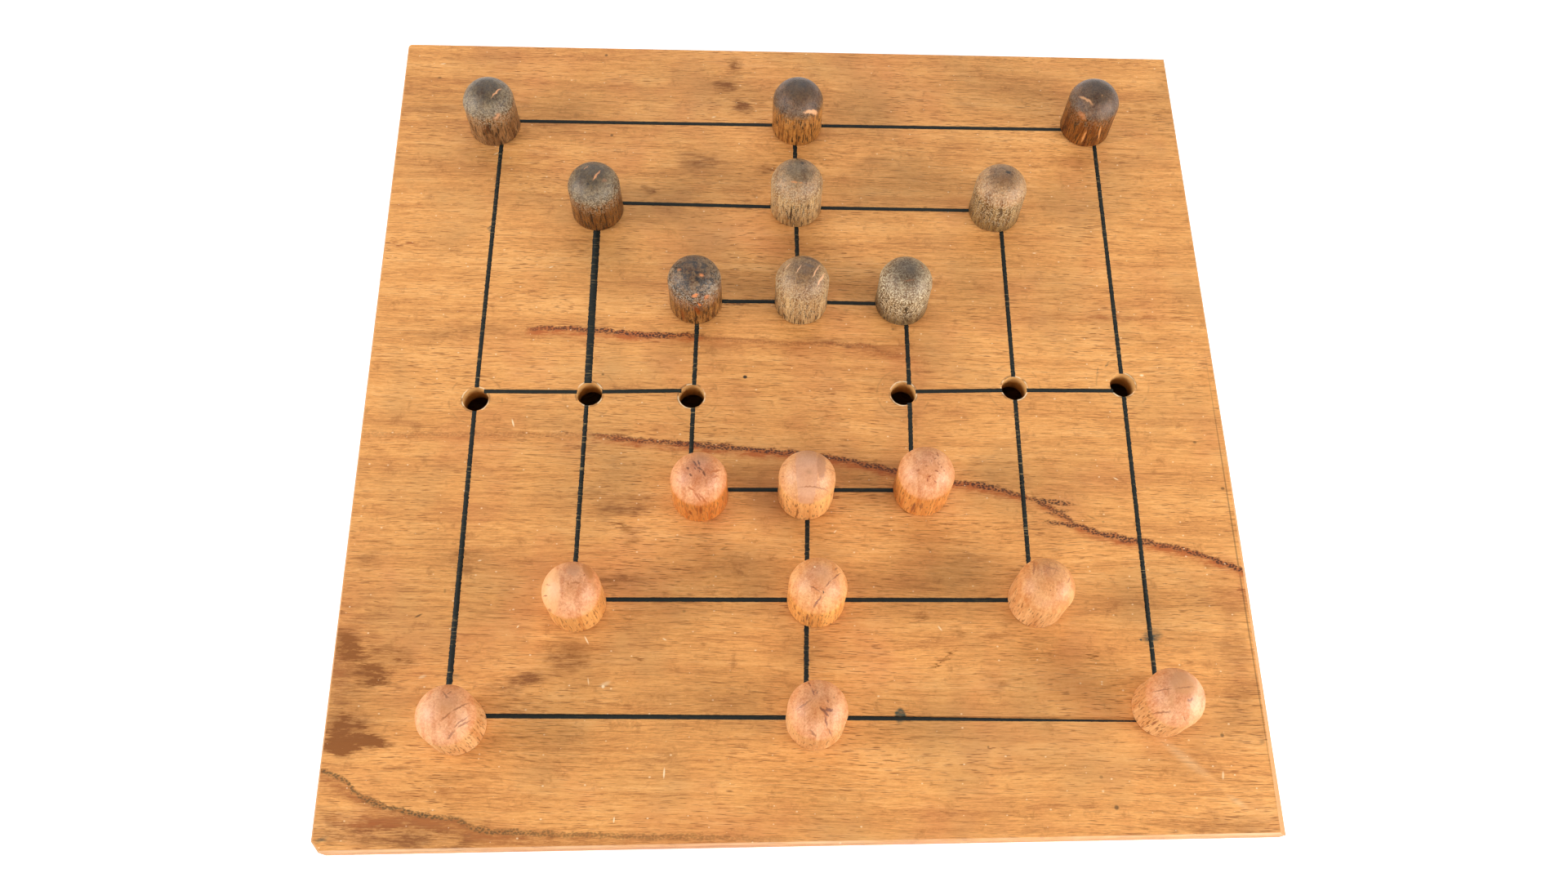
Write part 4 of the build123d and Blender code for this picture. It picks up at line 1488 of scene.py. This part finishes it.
LOOKS: dict[str, HandledDowel] = {
    "dark_peg_outer_left": replace(
        GREYED,
        paints={
            BARE: [stroke(3.9, 0.8, 1.5, -2.8, 0.45), Mark(2.8, -5.4, 3, 0.7, 35, 0.7)],
            # Painted reflection: the pale grey patch at the back of the dome is the white backdrop seen at a
            # grazing angle.
            "#9a8a76": [Mark(-1, 4.6, 9, 4, 0, 0.5, 1)]
        },
        side_paints={"#4a2a16": [stroke(-0.1, 9.6, -0.1, 5, 0.9)]}
    ),
    "dark_peg_outer_centre": replace(
        BROWNED, side="#c08340",
        paints={
            "#37312f": [Mark(1, 1.2, 4.2, 3.4, 0, 0.7, 1)],
            "#e2a878": [stroke(0.8, -5.5, 5.5, -3.9, 0.6, 0.9), stroke(1.6, -5.2, 4.6, -4.3, 0.4, 0.6)]
        }
    ),
    "dark_peg_outer_right": replace(
        BROWNED, side="#8c5320",
        paints={
            "#33281f": [Mark(2.7, 0.6, 4.6, 2.4, 0, 0.7, 1)],
            "#c08c60": [stroke(-4.9, -0.6, -1.3, -3.9, 0.6), Mark(0.7, -1.7, 0.6, 0.5, 0, 0.7)],
            "#c98048": [Mark(-3.6, -4.9, 4, 0.9, -45, 0.6)]
        },
        side_paints={
            "#5a2c0e": [
                stroke(-3, 10, -3.6, 3, 1, 0.6), stroke(-0.4, 10, 0.2, 4, 0.9, 0.6),
                stroke(2.6, 8, 2.2, 1, 0.8, 0.5)
            ],
            "#d79355": [stroke(-1.6, 7, -1.8, 1, 0.7, 0.6), stroke(1.6, 9, 2.6, 2, 0.6, 0.6)]
        }
    ),
    "dark_peg_middle_left": replace(
        GREYED, side="#835426",
        paints={
            "#d08f62": [
                stroke(2.3, 1.5, 0.3, -2, 0.5, 0.9), stroke(-0.8, 2.7, -1.9, 1.3, 0.35, 0.7),
                Mark(3.1, -1.2, 2, 1.4, 40, 0.25)
            ],
            PIT: [Mark(-0.8, -2.6, 1.2, 0.8, -20, 0.8), Mark(-0.2, -2, 0.5, 0.5, 0, 0.7)]
        },
        side_paints={"#2e1e14": [stroke(-0.8, 10.4, -0.5, 0.4, 0.5, 0.9)]}
    ),
    "dark_peg_middle_centre": replace(
        BLEACHED, apex="#7c664a",
        paints={
            PIT: [Mark(1.2, 2.5, 1.5, 1.2, 10, 0.95, 0.7), stroke(-0.1, 5.7, -0.1, 3.2, 0.5, 0.7)],
            "#c2824f": [stroke(-1.9, -2.7, 0.2, -3.1, 0.4, 0.7), stroke(0, -3.1, 1.6, -2.9, 0.4, 0.6)]
        },
        side_paints={
            "#2e2118": [stroke(-1.3, 10.4, -1.5, 0.6, 0.5, 0.85), stroke(2.8, 9.8, 2.9, 6.6, 0.5, 0.7)]
        }
    ),
    "dark_peg_middle_right": replace(
        BLEACHED, dome="#c09466", apex="#84603c", side="#947547", mottle_depth=0.15,
        paints={
            "#7b5330": [Mark(-0.3, -1.2, 6.5, 3.8, 0, 0.55, 1)],
            PIT: [Mark(0.9, 1.1, 2.2, 1.2, -6, 0.95, 0.7)],
            "#5d4a38": [Mark(-3.8, 0.3, 2.2, 0.7, 12, 0.6), Mark(-1.6, -1.6, 0.9, 0.4, 20, 0.6)]
        },
        side_paints={"#4c3a28": [stroke(-0.2, 10.2, 0.2, 6.8, 0.8, 0.7)]}
    ),
    "dark_peg_inner_left": replace(
        BROWNED, mottle="#28211d", mottle_depth=0.85, speckle_and_glint="#b5aa98", speckle_and_glint_depth=0.6, side="#a06e38",
        apex="#7a5f42", dome="#8e7456",
        paints={
            PIT: [
                Mark(0.3, 1.8, 1.5, 1.2, 0, 0.9), Mark(0.7, -1, 0.9, 1.2, 0, 0.8),
                Mark(0.8, -2.4, 2, 0.7, 0, 0.9), Mark(0.6, -2.4, 0.7, 1.8, 0, 0.9),
                Mark(3.9, -1.9, 1.6, 0.8, 10, 0.9), Mark(5, -1.2, 0.9, 0.8, 0, 0.7),
                Mark(-4.1, 1, 0.9, 0.8, 0, 0.7), Mark(-4.9, 2.4, 0.9, 1.2, 0, 0.7)
            ],
            "#d4834e": [
                Mark(1.9, -1.5, 1.6, 1.1, 0, 0.95), stroke(-0.6, -5.7, 1.4, -5.2, 0.5, 0.9),
                Mark(3, -5.2, 2.4, 0.7, 30, 0.7), Mark(-3.4, 0.2, 1.4, 0.9, 0, 0.5)
            ]
        },
        side_paints={
            "#7c3a10": [stroke(0.1, 9.5, 1.2, 4, 1.3, 0.7), stroke(-3, 6, -3, 0, 1, 0.5)],
            "#d07a44": [stroke(1, 10.5, 1.6, 8.4, 0.6, 0.9)]
        }
    ),
    "dark_peg_inner_centre": replace(
        BLEACHED, side="#c5a370", dome="#b58f64", apex="#8a6844", mottle_depth=0.2,
        paints={
            "#5f4c3f": [
                stroke(-0.6, 4.3, 5.2, 2.5, 1.2, 0.75), stroke(0, 1.6, 3.1, 0.9, 0.9, 0.6),
                Mark(0.4, -0.5, 3.4, 2.4, 0, 0.45, 1)
            ],
            PIT: [Mark(-1.1, 5.6, 0.9, 1.6, 0, 0.9)],
            "#e0ab80": [
                stroke(4.2, 2.8, 1.9, -2.3, 0.4, 0.9), stroke(5.5, 1, 3, -3.8, 0.4),
                stroke(-0.3, 1.4, -1.8, -1.2, 0.35, 0.7), stroke(-2.5, 2.8, -4.4, 0.6, 0.3, 0.6)
            ]
        }
    ),
    "dark_peg_inner_right": replace(
        BLEACHED, side="#846d48", dome="#a08868", apex="#62503a", mottle_depth=0.15, speckle_and_glint="#e0d3b0",
        speckle_and_glint_depth=0.95,
        paints={
            "#4b3f33": [Mark(0.7, -0.1, 4, 3.8, 0, 0.75, 1)],
            "#a0603c": [stroke(3.5, 2.8, 3.6, 0.6, 0.4, 0.5), Mark(0.2, -2.4, 3.4, 0.5, 8, 0.4)]
        },
        side_paints={"#2f2519": [stroke(-0.1, 9.6, 0.3, 6, 0.7), stroke(0, 5, 1.4, 1, 0.9, 0.5)]}
    ),
    "light_peg_outer_left": replace(
        HONEY,
        paints={
            "#c98b58": [Mark(1.2, 1.2, 6, 5.2, 20, 0.7, 0.9), Mark(3.6, -1.2, 4, 3, 30, 0.4, 1)],
            SCORE: [
                stroke(-0.8, 4.5, 1.5, 2.3, 0.35), stroke(5.2, 2.3, 1.9, -0.4, 0.4),
                stroke(2.2, -0.2, -0.1, -2.1, 0.4), stroke(2.4, -3.3, 5.4, -0.4, 0.35),
                stroke(3, -3.3, 5.6, -1.2, 0.35), stroke(1.1, -5.4, 2.8, -3.6, 0.35),
                stroke(0.4, 3.3, 1.1, 2.5), stroke(1.4, 4.4, 0.7, 3.2, 0.3)
            ]
        },
        side_paints={CRACK: [stroke(5.2, 10.3, 5.4, 7.2, 0.5, 0.5), stroke(4, 5, 4.2, 0.5, 0.4, 0.5)]}
    ),
    "light_peg_outer_centre": replace(
        HONEY, apex="#d08d57",
        paints={
            "#b9703c": [Mark(1.6, -0.9, 3.6, 2.6, -30, 0.5, 0.9), Mark(-0.7, 2.4, 1.2, 2.6, 0, 0.5)],
            "#7b4221": [
                Mark(-0.7, 3.3, 0.8, 0.3, 20, 0.8), Mark(-1, 2.6, 0.3, 1.4, 0, 0.8),
                Mark(-0.3, 2.7, 0.3, 1.3, 0, 0.8), stroke(0, -0.2, 1.7, -1.7, 0.6, 0.9),
                stroke(0.8, -1, 3.1, -0.8, 0.6, 0.9), stroke(1, -1.2, 2, -2.2),
                stroke(2.2, -0.9, 1.4, -0.4, 0.4), Mark(1.8, 0.9, 0.7, 1, 20, 0.8),
                Mark(3.1, 1.8, 0.7, 0.5, 0, 0.6)
            ],
            CRACK: [
                stroke(-2, 5.8, -1.4, 3.9, 0.4, 0.7), stroke(-1.4, 3.9, -0.9, 1.9, 0.35, 0.6),
                stroke(1, -1.7, 1.9, -4.5, 0.35, 0.7), stroke(1.9, -4.3, 2.9, -5.6, 0.35, 0.6)
            ],
            SCORE: [stroke(-4.8, -0.8, -1.1, 1.4, 0.35), stroke(-1.9, -4.4, -0.4, -5.9, 0.4)]
        }
    ),
    "light_peg_outer_right": replace(
        HONEY,
        paints={
            # Painted shade: the larger darker mark over the back of the dome is a flat facet turned from the
            # lamps.
            "#c88a55": [Mark(0.8, 2.2, 7, 6.4, 0, 0.75, 0.35), Mark(-2.2, -1.6, 1.2, 4, 0, 0.4)],
            "#96603a": [stroke(0.8, -1.1, 1.6, -1.9, 0.5, 0.9), stroke(1.4, -1.8, 2.2, -0.9)],
            SCORE: [
                stroke(-5.9, 0.7, -1.6, 0.9, 0.3, 0.9), stroke(-1.6, 0.9, 3.1, 1.4, 0.3),
                stroke(-6, -3.3, -2, -3.6, 0.35), stroke(0.2, -4.4, 1, -5.4, 0.3, 0.7)
            ]
        },
        side_paints={CRACK: [stroke(-4.6, 10.5, -4.7, 5, 0.6, 0.7), stroke(-3.3, 7.4, -3.4, 4.6, 0.5, 0.6)]}
    ),
    "light_peg_middle_left": replace(
        PINK, side="#e3a65f",
        paints={
            "#eeb077": [Mark(-4.2, 0, 5.4, 13, 9, 0.6, 0.25)],
            "#bf8359": [Mark(0.6, 3.4, 3.6, 4.4, 15, 0.65, 0.5)],
            "#b97741": [Mark(3.6, 3.6, 2.4, 6, 24, 0.8, 0.4), Mark(5, 0, 1.6, 4, 8, 0.5)],
            "#a5602f": [
                Mark(-0.1, -0.1, 0.7, 0.7, 0, 0.95), stroke(0.2, 0, 2.7, 0.4, 0.5, 0.7),
                Mark(3, 2.2, 0.5, 0.5), Mark(1, -0.6, 3, 1.6, 0, 0.35, 1)
            ],
            SCORE: [
                stroke(-5.2, -4, -3.6, -4.8, 0.4), stroke(-5.8, -1.6, -4.4, -2.2, 0.3),
                stroke(-5.4, 0.6, -3.6, -0.2, 0.3, 0.5)
            ]
        }
    ),
    "light_peg_middle_centre": replace(
        HONEY, side="#f2b263", dome="#eeb074",
        paints={
            "#cd8e5b": [Mark(0.7, 0.6, 5, 5.6, 10, 0.6)], "#fbe3b8": [Mark(-0.9, 2.9, 0.6, 0.6, 0, 0.95)],
            PIT: [Mark(0.8, -2.6, 0.6, 0.6, 0, 0.9)],
            CRACK: [
                stroke(4.9, 2.3, 2.6, 0, 0.35, 0.7), stroke(2.7, 0.1, 1.1, -1.8, 0.3, 0.6),
                stroke(0.6, -3.1, -1.4, -5.6, 0.4, 0.7), stroke(-2.2, -1.1, 0.4, -2.7, 0.3, 0.6),
                stroke(4.2, 3.6, 3.3, 2.4, 0.5, 0.5)
            ]
        },
        side_paints={
            CRACK: [
                stroke(-2.3, 10.3, -2.3, 4, 0.6, 0.7), stroke(-4.2, 7.8, -4.2, 4.8, 0.5, 0.6),
                stroke(-1.1, 7, -1.1, 0.5, 0.4, 0.5)
            ]
        }
    ),
    "light_peg_middle_right": replace(
        HONEY, dome="#e2a468", apex="#dc9c62", crackle=(Mark(0.2, 2.6, 8.0, 5.6, 0, 0.55, 0.7),),
        paints={
            "#c98b55": [Mark(0.4, 0.6, 5, 3.4, 0, 0.4, 1)],
            "#a8683c": [
                stroke(-2.4, 5.5, -3.6, 0.8, 0.4, 0.7), stroke(-1.6, 3.3, 3.1, 1.8, 0.25, 0.6),
                stroke(4.6, 1.1, 3.5, -0.7, 0.4, 0.7)
            ],
            CRACK: [Mark(-0.2, -2.2, 0.5, 0.4, 0, 0.9), Mark(-2.6, -1.6, 0.4, 0.6, 0, 0.6)]
        }
    ),
    "light_peg_inner_left": replace(
        PINK, apex="#c8845a", side="#d68a40", fleck_cover=0.55, crackle=(Mark(2.6, -0.8, 6, 4, 0, 0.5),),
        paints={
            "#bd8259": [Mark(0.6, 3.4, 5.4, 4.6, 0, 0.6, 0.9)],
            "#6e3a1c": [
                stroke(-1.3, 2.8, -0.1, 0.8, 0.5, 0.9), stroke(-0.2, 1, 1.2, -0.1, 0.5, 0.95),
                stroke(1.1, 0.1, 1.7, -1.3, 0.55, 0.95), stroke(0, 2.9, 0.3, 1, 0.45, 0.9),
                stroke(-2.4, 1.1, -1.9, 0.3, 0.5, 0.9), stroke(-2, -0.5, -1.1, -1.3, 0.5, 0.9),
                stroke(-0.9, 0.9, -0.3, 0.2, 0.4), stroke(0.2, 0.1, 0.6, -0.5, 0.35, 0.7)
            ],
            "#b5652f": [
                stroke(5.5, 1.4, 2, -0.6), stroke(4.8, -0.3, 2.6, -1.4, 0.4),
                stroke(-2.4, -3, -0.1, -4.5, 0.4), stroke(-0.2, -4.4, 2.2, -6.1, 0.5, 0.9),
                stroke(-1, -4.2, 0.9, -5.9, 0.5, 0.9), stroke(-5.6, 1.4, -3.6, -0.6, 0.4, 0.4),
                stroke(-5.2, -0.6, -3.2, -2.6, 0.4, 0.4)
            ]
        },
        side_paints={
            "#8f4414": [
                stroke(-2.1, 7, -1.9, 3.6, 0.8, 0.9), stroke(0.6, 10.4, 0.5, 4.6, 0.8),
                stroke(-0.5, 9.6, -0.5, 6.6, 0.5, 0.7), stroke(3.6, 9, 3.6, 6, 0.5, 0.6)
            ]
        }
    ),
    "light_peg_inner_centre": replace(
        HONEY, side="#f6bb74", dome="#e2a873", ring_depth=0.0,
        paints={
            "#c99270": [Mark(-0.3, 1.2, 5, 20, 0, 0.62, 0.08)],
            "#b27a56": [Mark(3, 1.8, 2.2, 8.5, -3, 0.75, 0.25)],
            "#a8744f": [Mark(0.2, -0.7, 2.4, 1.8, 0, 0.6, 1)],
            SCORE: [
                stroke(-2.9, -3.6, 5.2, -3.8, 0.3, 0.7), stroke(-5.8, 2.4, -4.3, 1.9, 0.3, 0.7),
                stroke(4.6, 0.6, 6, 1, 0.3, 0.6), stroke(-6, -0.3, -5.2, -0.9, 0.3, 0.6)
            ]
        }
    ),
    "light_peg_inner_right": replace(
        HONEY, side="#e09a50",
        paints={
            "#c07a46": [Mark(1.2, -0.6, 5.6, 4.4, 0, 0.3, 1), Mark(-2.4, -1, 2, 1.4, 0, 0.5, 0.9)],
            "#9a4f27": [
                Mark(1.4, 1.7, 1.1, 0.6, 40, 0.85), Mark(0.5, 1, 0.6, 0.6, 0, 0.8),
                Mark(2, 0.7, 0.3, 1, 0, 0.8), Mark(2.2, 0.3, 0.8, 0.3, 0, 0.8),
                Mark(2.7, -0.3, 0.5, 0.9, -20, 0.85), Mark(3.3, -0.8, 0.6, 0.5, 0, 0.85),
                stroke(1, -1.1, 2.1, -1.4, 0.4, 0.85), Mark(-0.7, -0.3, 0.7, 0.6, 0, 0.85),
                Mark(-2.4, -1.1, 0.9, 0.7, 30, 0.95), Mark(-2.7, 0.9, 0.5, 0.8, 0, 0.6),
                stroke(-0.6, -2.6, 0.4, -2.3, 0.35, 0.85), stroke(-0.5, -2.7, -0.3, -3.6, 0.4, 0.9),
                Mark(2.2, -1.7, 0.6, 0.5, 0, 0.7), stroke(1, -3.2, 1.7, -3.7, 0.35, 0.7),
                stroke(1.9, 3.9, 2.4, 2.4, 0.35, 0.7), stroke(1.6, 3, 2.4, 2.4, 0.35, 0.7)
            ]
        },
        side_paints={CRACK: [stroke(-2.5, 8, -2.7, 1, 0.7, 0.7), stroke(-0.9, 9, -0.9, 3, 0.5, 0.6)]}
    )
}


@dataclass
class PegSet:
    """The eighteen pegs, each with the look that its own wood has taken."""

    wear: tuple[float, float] = (0.08, 0.16)  # mm, least and most
    arris: tuple[float, float] = (0.2, 0.6)

    def dress(self) -> None:
        """Turn and place every peg."""
        for number, (node, finish) in enumerate(sorted(LOOKS.items())):
            share = number * 7 % len(LOOKS) / (len(LOOKS) - 1)  # 0 to 1, each value once
            finish = replace(finish, ring_turn=float(number * 47 % 180))
            wear = self.wear[0] + share * (self.wear[1] - self.wear[0])
            arris = self.arris[0] + (1 - share) * (self.arris[1] - self.arris[0])
            Peg(node, finish, float(number + 1), wear=wear, arris=arris).dress()


def finish_node(node: str, material: Material) -> None:
    """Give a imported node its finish.

    Args:
        node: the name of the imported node.
        material: the finish.
    """
    mesh = frame["nodes"][node].data
    mesh.materials.clear()
    mesh.materials.append(material)


def eased_copy(node: str, name: str, width: float, material: Material) -> Object:
    """Copy a plain wooden part with its long outer arrises rubbed round.

    Args:
        node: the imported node.
        name: the name of the finished piece.
        width: how far the rounding reaches, in millimetres.
        material: its finish.

    Returns:
        The finished piece.
    """
    shape = clean_copy(node)
    arrises = [
        edge for edge in shape.edges
        if len(edge.link_faces) == 2 and edge.is_convex
        and edge.calc_face_angle() > SHARP_ANGLE and edge.calc_length() > SHORT_EDGE
    ]
    bmesh.ops.bevel(
        shape, geom=arrises, offset=width * MM, segments=2, profile=0.6, affect="EDGES", clamp_overlap=True
    )
    mesh = bpy.data.meshes.new(name)
    shape.to_mesh(mesh)
    shape.free()
    mesh.materials.append(material)
    return new_object(name, mesh)


@dataclass
class Board:
    """The board that is the lid: its wood, its ink and its battens. Sizes in millimetres."""

    wood: VarnishedBoard = field(default_factory=VarnishedBoard)
    ink: ScoredInk = field(default_factory=ScoredInk)
    short: float = 0.12  # how far the ink stops from the rim of a hole
    proud: float = 0.012  # how high the ink stands over the board
    thick: float = 0.08
    fray_across: float = 0.17  # how far a line over the grain bleeds along it
    fray_along: float = 0.05
    end_zone: float = 1.3  # how far in from its end a line is measured
    worn_share: float = 0.2  # of the scrapes, on a line along the grain
    step: float = 0.25  # between the places where a side may fray
    batten_arris: float = 0.4

    def scribe(self) -> Object:
        """Draw the lines of the morris in ink.

        Returns:
            The finished piece.
        """
        points, edges, half, fray, across = [], [], [], [], []
        top = max(box_of(solid)[1].z for solid in islands("ink_lines"))
        for solid in islands("ink_lines"):
            low, high = box_of(solid)
            along = 1 if high.y - low.y > high.x - low.x else 0
            edges.append((len(points), len(points) + 1))
            # A line may lie slightly askew, so each of its ends is measured by itself.
            for end, inward in ((low[along], 1), (high[along], -1)):
                sides = [p[1 - along] for p in solid if abs(p[along] - end) < self.end_zone * MM]
                place = Vector((0, 0, top + (self.proud - self.thick / 2) * MM))
                place[along] = end + inward * self.short * MM
                place[1 - along] = (min(sides) + max(sides)) / 2
                points.append(place)
                half.append((max(sides) - min(sides)) / 2)
                fray.append((self.fray_across * MM, 0, 0) if along else (0, self.fray_along * MM, 0))
                across.append(1.0 if along else self.worn_share)
        mesh = path_mesh("ink_paths", points, edges, half=half, fray=fray, across=across)
        return run_tree(
            "ink_ribbons", mesh, ribbon_tree(),
            {
                "Step": self.step * MM, "Top": top + self.proud * MM,
                "Foot": top + (self.proud - self.thick) * MM,
                "Fray Size": (1.1 * MM, 0.5 * MM, MM), "Material": self.ink.material()
            }
        )

    def dress(self) -> None:
        """Dress the board and what is fixed to it."""
        finish_node("board", self.wood.material(hole_centres()))
        place_on_body(self.scribe(), "board", "ink", "ink_lines")
        wood = PlanedHardwood("planed_batten_wood", Grain.ALONG_Y).material()
        for node in ("left_batten", "right_batten"):
            piece = eased_copy(node, node + "_eased", self.batten_arris, wood)
            place_on_body(piece, "board", "case_wood", node)


@dataclass
class Case:
    """The shallow case under the board: walls, bottom and pins. Sizes in millimetres."""

    arris: float = 0.35
    panel_arris: float = 0.2
    head_radius: float = 1.2
    head: float = 0.6
    shank_radius: float = 0.6
    point: float = 1.6
    step: float = 0.2  # between the rows of the lathe
    sides: int = 20

    def pin(self, length: float, material: Material) -> Object:
        """Turn one pin.

        Args:
            length: from its head to its point, in millimetres.
            material: its finish.

        Returns:
            The pin, its head at the origin and its point below.
        """
        outline = [
            (0.0, 0.0, 0.0), (0.75 * self.head_radius, -0.02, 0.2), (self.head_radius, -0.12, 0.05),
            (self.head_radius, -0.45 * self.head, 0.05), (self.shank_radius, -self.head, 0.05),
            (self.shank_radius, self.point - length, 0.3), (0.0, -length, 0.0)
        ]
        return turn_on_lathe(
            "pin_pattern", outline,
            {
                "Step": self.step * MM, "Sides": self.sides, "Wear": 0.0, "Wear Size": MM,
                "Worn Above": 0.0, "Seed": 0.0, "Place": (0, 0, 0), "Material": material
            }
        )

    def drive(self, node: str, name: str, material: Material) -> None:
        """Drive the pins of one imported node.

        Args:
            node: the node.
            name: the name of the finished piece.
            material: their finish.
        """
        points, toward, length = [], [], 0.0
        for low, high in (box_of(solid) for solid in islands(node)):
            size, middle = high - low, (low + high) / 2
            axis = max(range(3), key=lambda at: size[at])
            outward = Vector((0, 0, 0))
            outward[axis] = -1.0 if axis == 2 or middle[axis] < 0 else 1.0
            length = size[axis] / MM
            points.append(middle + outward * size[axis] / 2)
            toward.append(outward)
        pattern = self.pin(length, material)
        mesh = path_mesh(node + "_points", points, [], toward=toward)
        piece = run_tree(name, mesh, drive_tree(), {"Pin": pattern, "Material": material})
        bpy.data.objects.remove(pattern)
        place_on_body(piece, "case", "pin_steel", node)

    def dress(self) -> None:
        """Dress the case."""
        for node in ("front_wall", "back_wall", "left_wall", "right_wall"):
            way = Grain.ALONG_X if node in ("front_wall", "back_wall") else Grain.ALONG_Y
            wood = PlanedHardwood("planed_" + node, way).material()
            place_on_body(eased_copy(node, node + "_eased", self.arris, wood), "case", "case_wood", node)
        panel = eased_copy("bottom_panel", "bottom_panel_eased", self.panel_arris, RotaryPlywood().material())
        place_on_body(panel, "case", "bottom_plywood", "bottom_panel")
        wire = DrawnWire().material()
        self.drive("corner_pins", "corner_nails", wire)
        self.drive("bottom_pins", "bottom_nails", wire)


# --- Studio --------------------------------------------------------------------------------
@dataclass(frozen=True)
class Softbox:
    """One soft lamp. Lengths in metres, power in watts."""

    name: str
    place: tuple[float, float, float]
    size: tuple[float, float]
    power: float


@dataclass
class Studio:
    """White floor and surroundings, softboxes and the camera. Lengths in metres."""

    floor_size: float = 12.0
    paper: str = "#f2f2f2"
    paper_lift: tuple[float, float] = (0.55, 1.0)  # how much whiter the floor looks, near and far
    lift_from: tuple[float, float] = (0.2, 0.7)  # how far out near and far are
    ambient: float = 0.05
    aim: tuple[float, float, float] = (0.0, 0.0, 0.02)
    softboxes: tuple[Softbox, ...] = (
        Softbox("left_softbox", (-0.58, -0.06, 0.27), (0.34, 0.25), 3.7),
        Softbox("right_softbox", (0.46, -0.18, 0.20), (0.28, 0.20), 2.75),
        Softbox("back_softbox", (0.0, 0.45, 0.45), (0.80, 0.40), 2.2),
        Softbox("front_softbox", (0.0, -0.78, 0.30), (0.90, 0.30), 4.1)
    )
    camera_place: tuple[float, float, float] = (-0.00995, -0.12983, 0.30229)
    camera_target: tuple[float, float, float] = (-0.00239, -0.01090, 0.02300)
    camera_roll: float = math.radians(-0.362)
    lens: float = 30.11  # mm, on a 36 mm sensor

    def white_where_seen(self, tree: NodeTree) -> Node:
        """Tell the rays that show a thing from those that light it.

        Args:
            tree: the tree of a material or of the world.

        Returns:
            A mask that is 1 for rays from the camera, glossy surfaces and glass.
        """
        path = add(tree, "LightPath").outputs
        seen = add(tree, "Math MAXIMUM", path["Is Camera Ray"], path["Is Glossy Ray"])
        return add(tree, "Math MAXIMUM", seen, path["Is Transmission Ray"])

    def surround(self) -> None:
        """Make the world: plain soft light, white where it is seen."""
        world = bpy.context.scene.world = bpy.data.worlds.new("studio_surround")
        tree = empty_tree(world)
        strength = add(tree, "MapRange", self.white_where_seen(tree), 0, 1, self.ambient, 1)
        add(tree, "OutputWorld", add(tree, "Background", (1, 1, 1, 1), strength))

    def floor(self) -> None:
        """Lay the white floor, which keeps the object's shadow."""
        mesh = bpy.data.meshes.new("studio_floor")
        half = self.floor_size / 2
        drop = -0.05 * MM
        corners = [(-half, -half, drop), (half, -half, drop), (half, half, drop), (-half, half, drop)]
        mesh.from_pydata(corners, [], [(0, 1, 2, 3)])
        floor = new_object("studio_floor", mesh)
        material = bpy.data.materials.new("matt_white_paper")
        tree = empty_tree(material)
        paper = add(tree, "BsdfDiffuse", linear(self.paper))
        away = add(tree, "VectorMath LENGTH", add(tree, "TexCoord").outputs["Object"])
        lift = add(tree, "MapRange", away, *self.lift_from, *self.paper_lift)
        lift = add(tree, "Math MULTIPLY", self.white_where_seen(tree), lift)
        glow = add(tree, "Emission", (1, 1, 1, 1), lift)
        add(tree, "OutputMaterial", add(tree, "AddShader", paper, glow))
        mesh.materials.append(material)

    def hang(self, softbox: Softbox) -> None:
        """Hang one softbox and aim it at the object.

        Args:
            softbox: what to hang.
        """
        lamp = bpy.data.lights.new(softbox.name, "AREA")
        lamp.shape, lamp.energy = "RECTANGLE", softbox.power
        lamp.size, lamp.size_y = softbox.size
        holder = new_object(softbox.name, lamp)
        holder.location = softbox.place
        toward = Vector(softbox.place) - Vector(self.aim)
        holder.rotation_euler = toward.to_track_quat("Z", "Y").to_euler()
        holder.visible_camera = False

    def camera(self) -> None:
        """Set the camera up."""
        lens = bpy.data.cameras.new("studio_camera")
        lens.lens, lens.sensor_width = self.lens, 36.0
        lens.clip_start, lens.clip_end = 0.01, 50.0
        holder = new_object("studio_camera", lens)
        place, target = Vector(self.camera_place), Vector(self.camera_target)
        back = (place - target).normalized()
        right = Vector((0, 1, 0)).cross(back).normalized()
        up = back.cross(right)
        turn = Matrix.Rotation(self.camera_roll, 3, back)
        axes = Matrix((turn @ right, turn @ up, back)).transposed().to_4x4()
        holder.matrix_world = Matrix.Translation(place) @ axes
        bpy.context.scene.camera = holder

    def build(self) -> None:
        """Build the studio."""
        self.camera()
        self.surround()
        self.floor()
        for softbox in self.softboxes:
            self.hang(softbox)
        bpy.context.scene.view_settings.view_transform = "Standard"


def main() -> None:
    """Build and dress everything."""
    logging.basicConfig(level=logging.INFO, format="%(name)s: %(message)s")
    Studio().build()
    Board().dress()
    PegSet().dress()
    Case().dress()


if __name__ == "__main__":
    main()
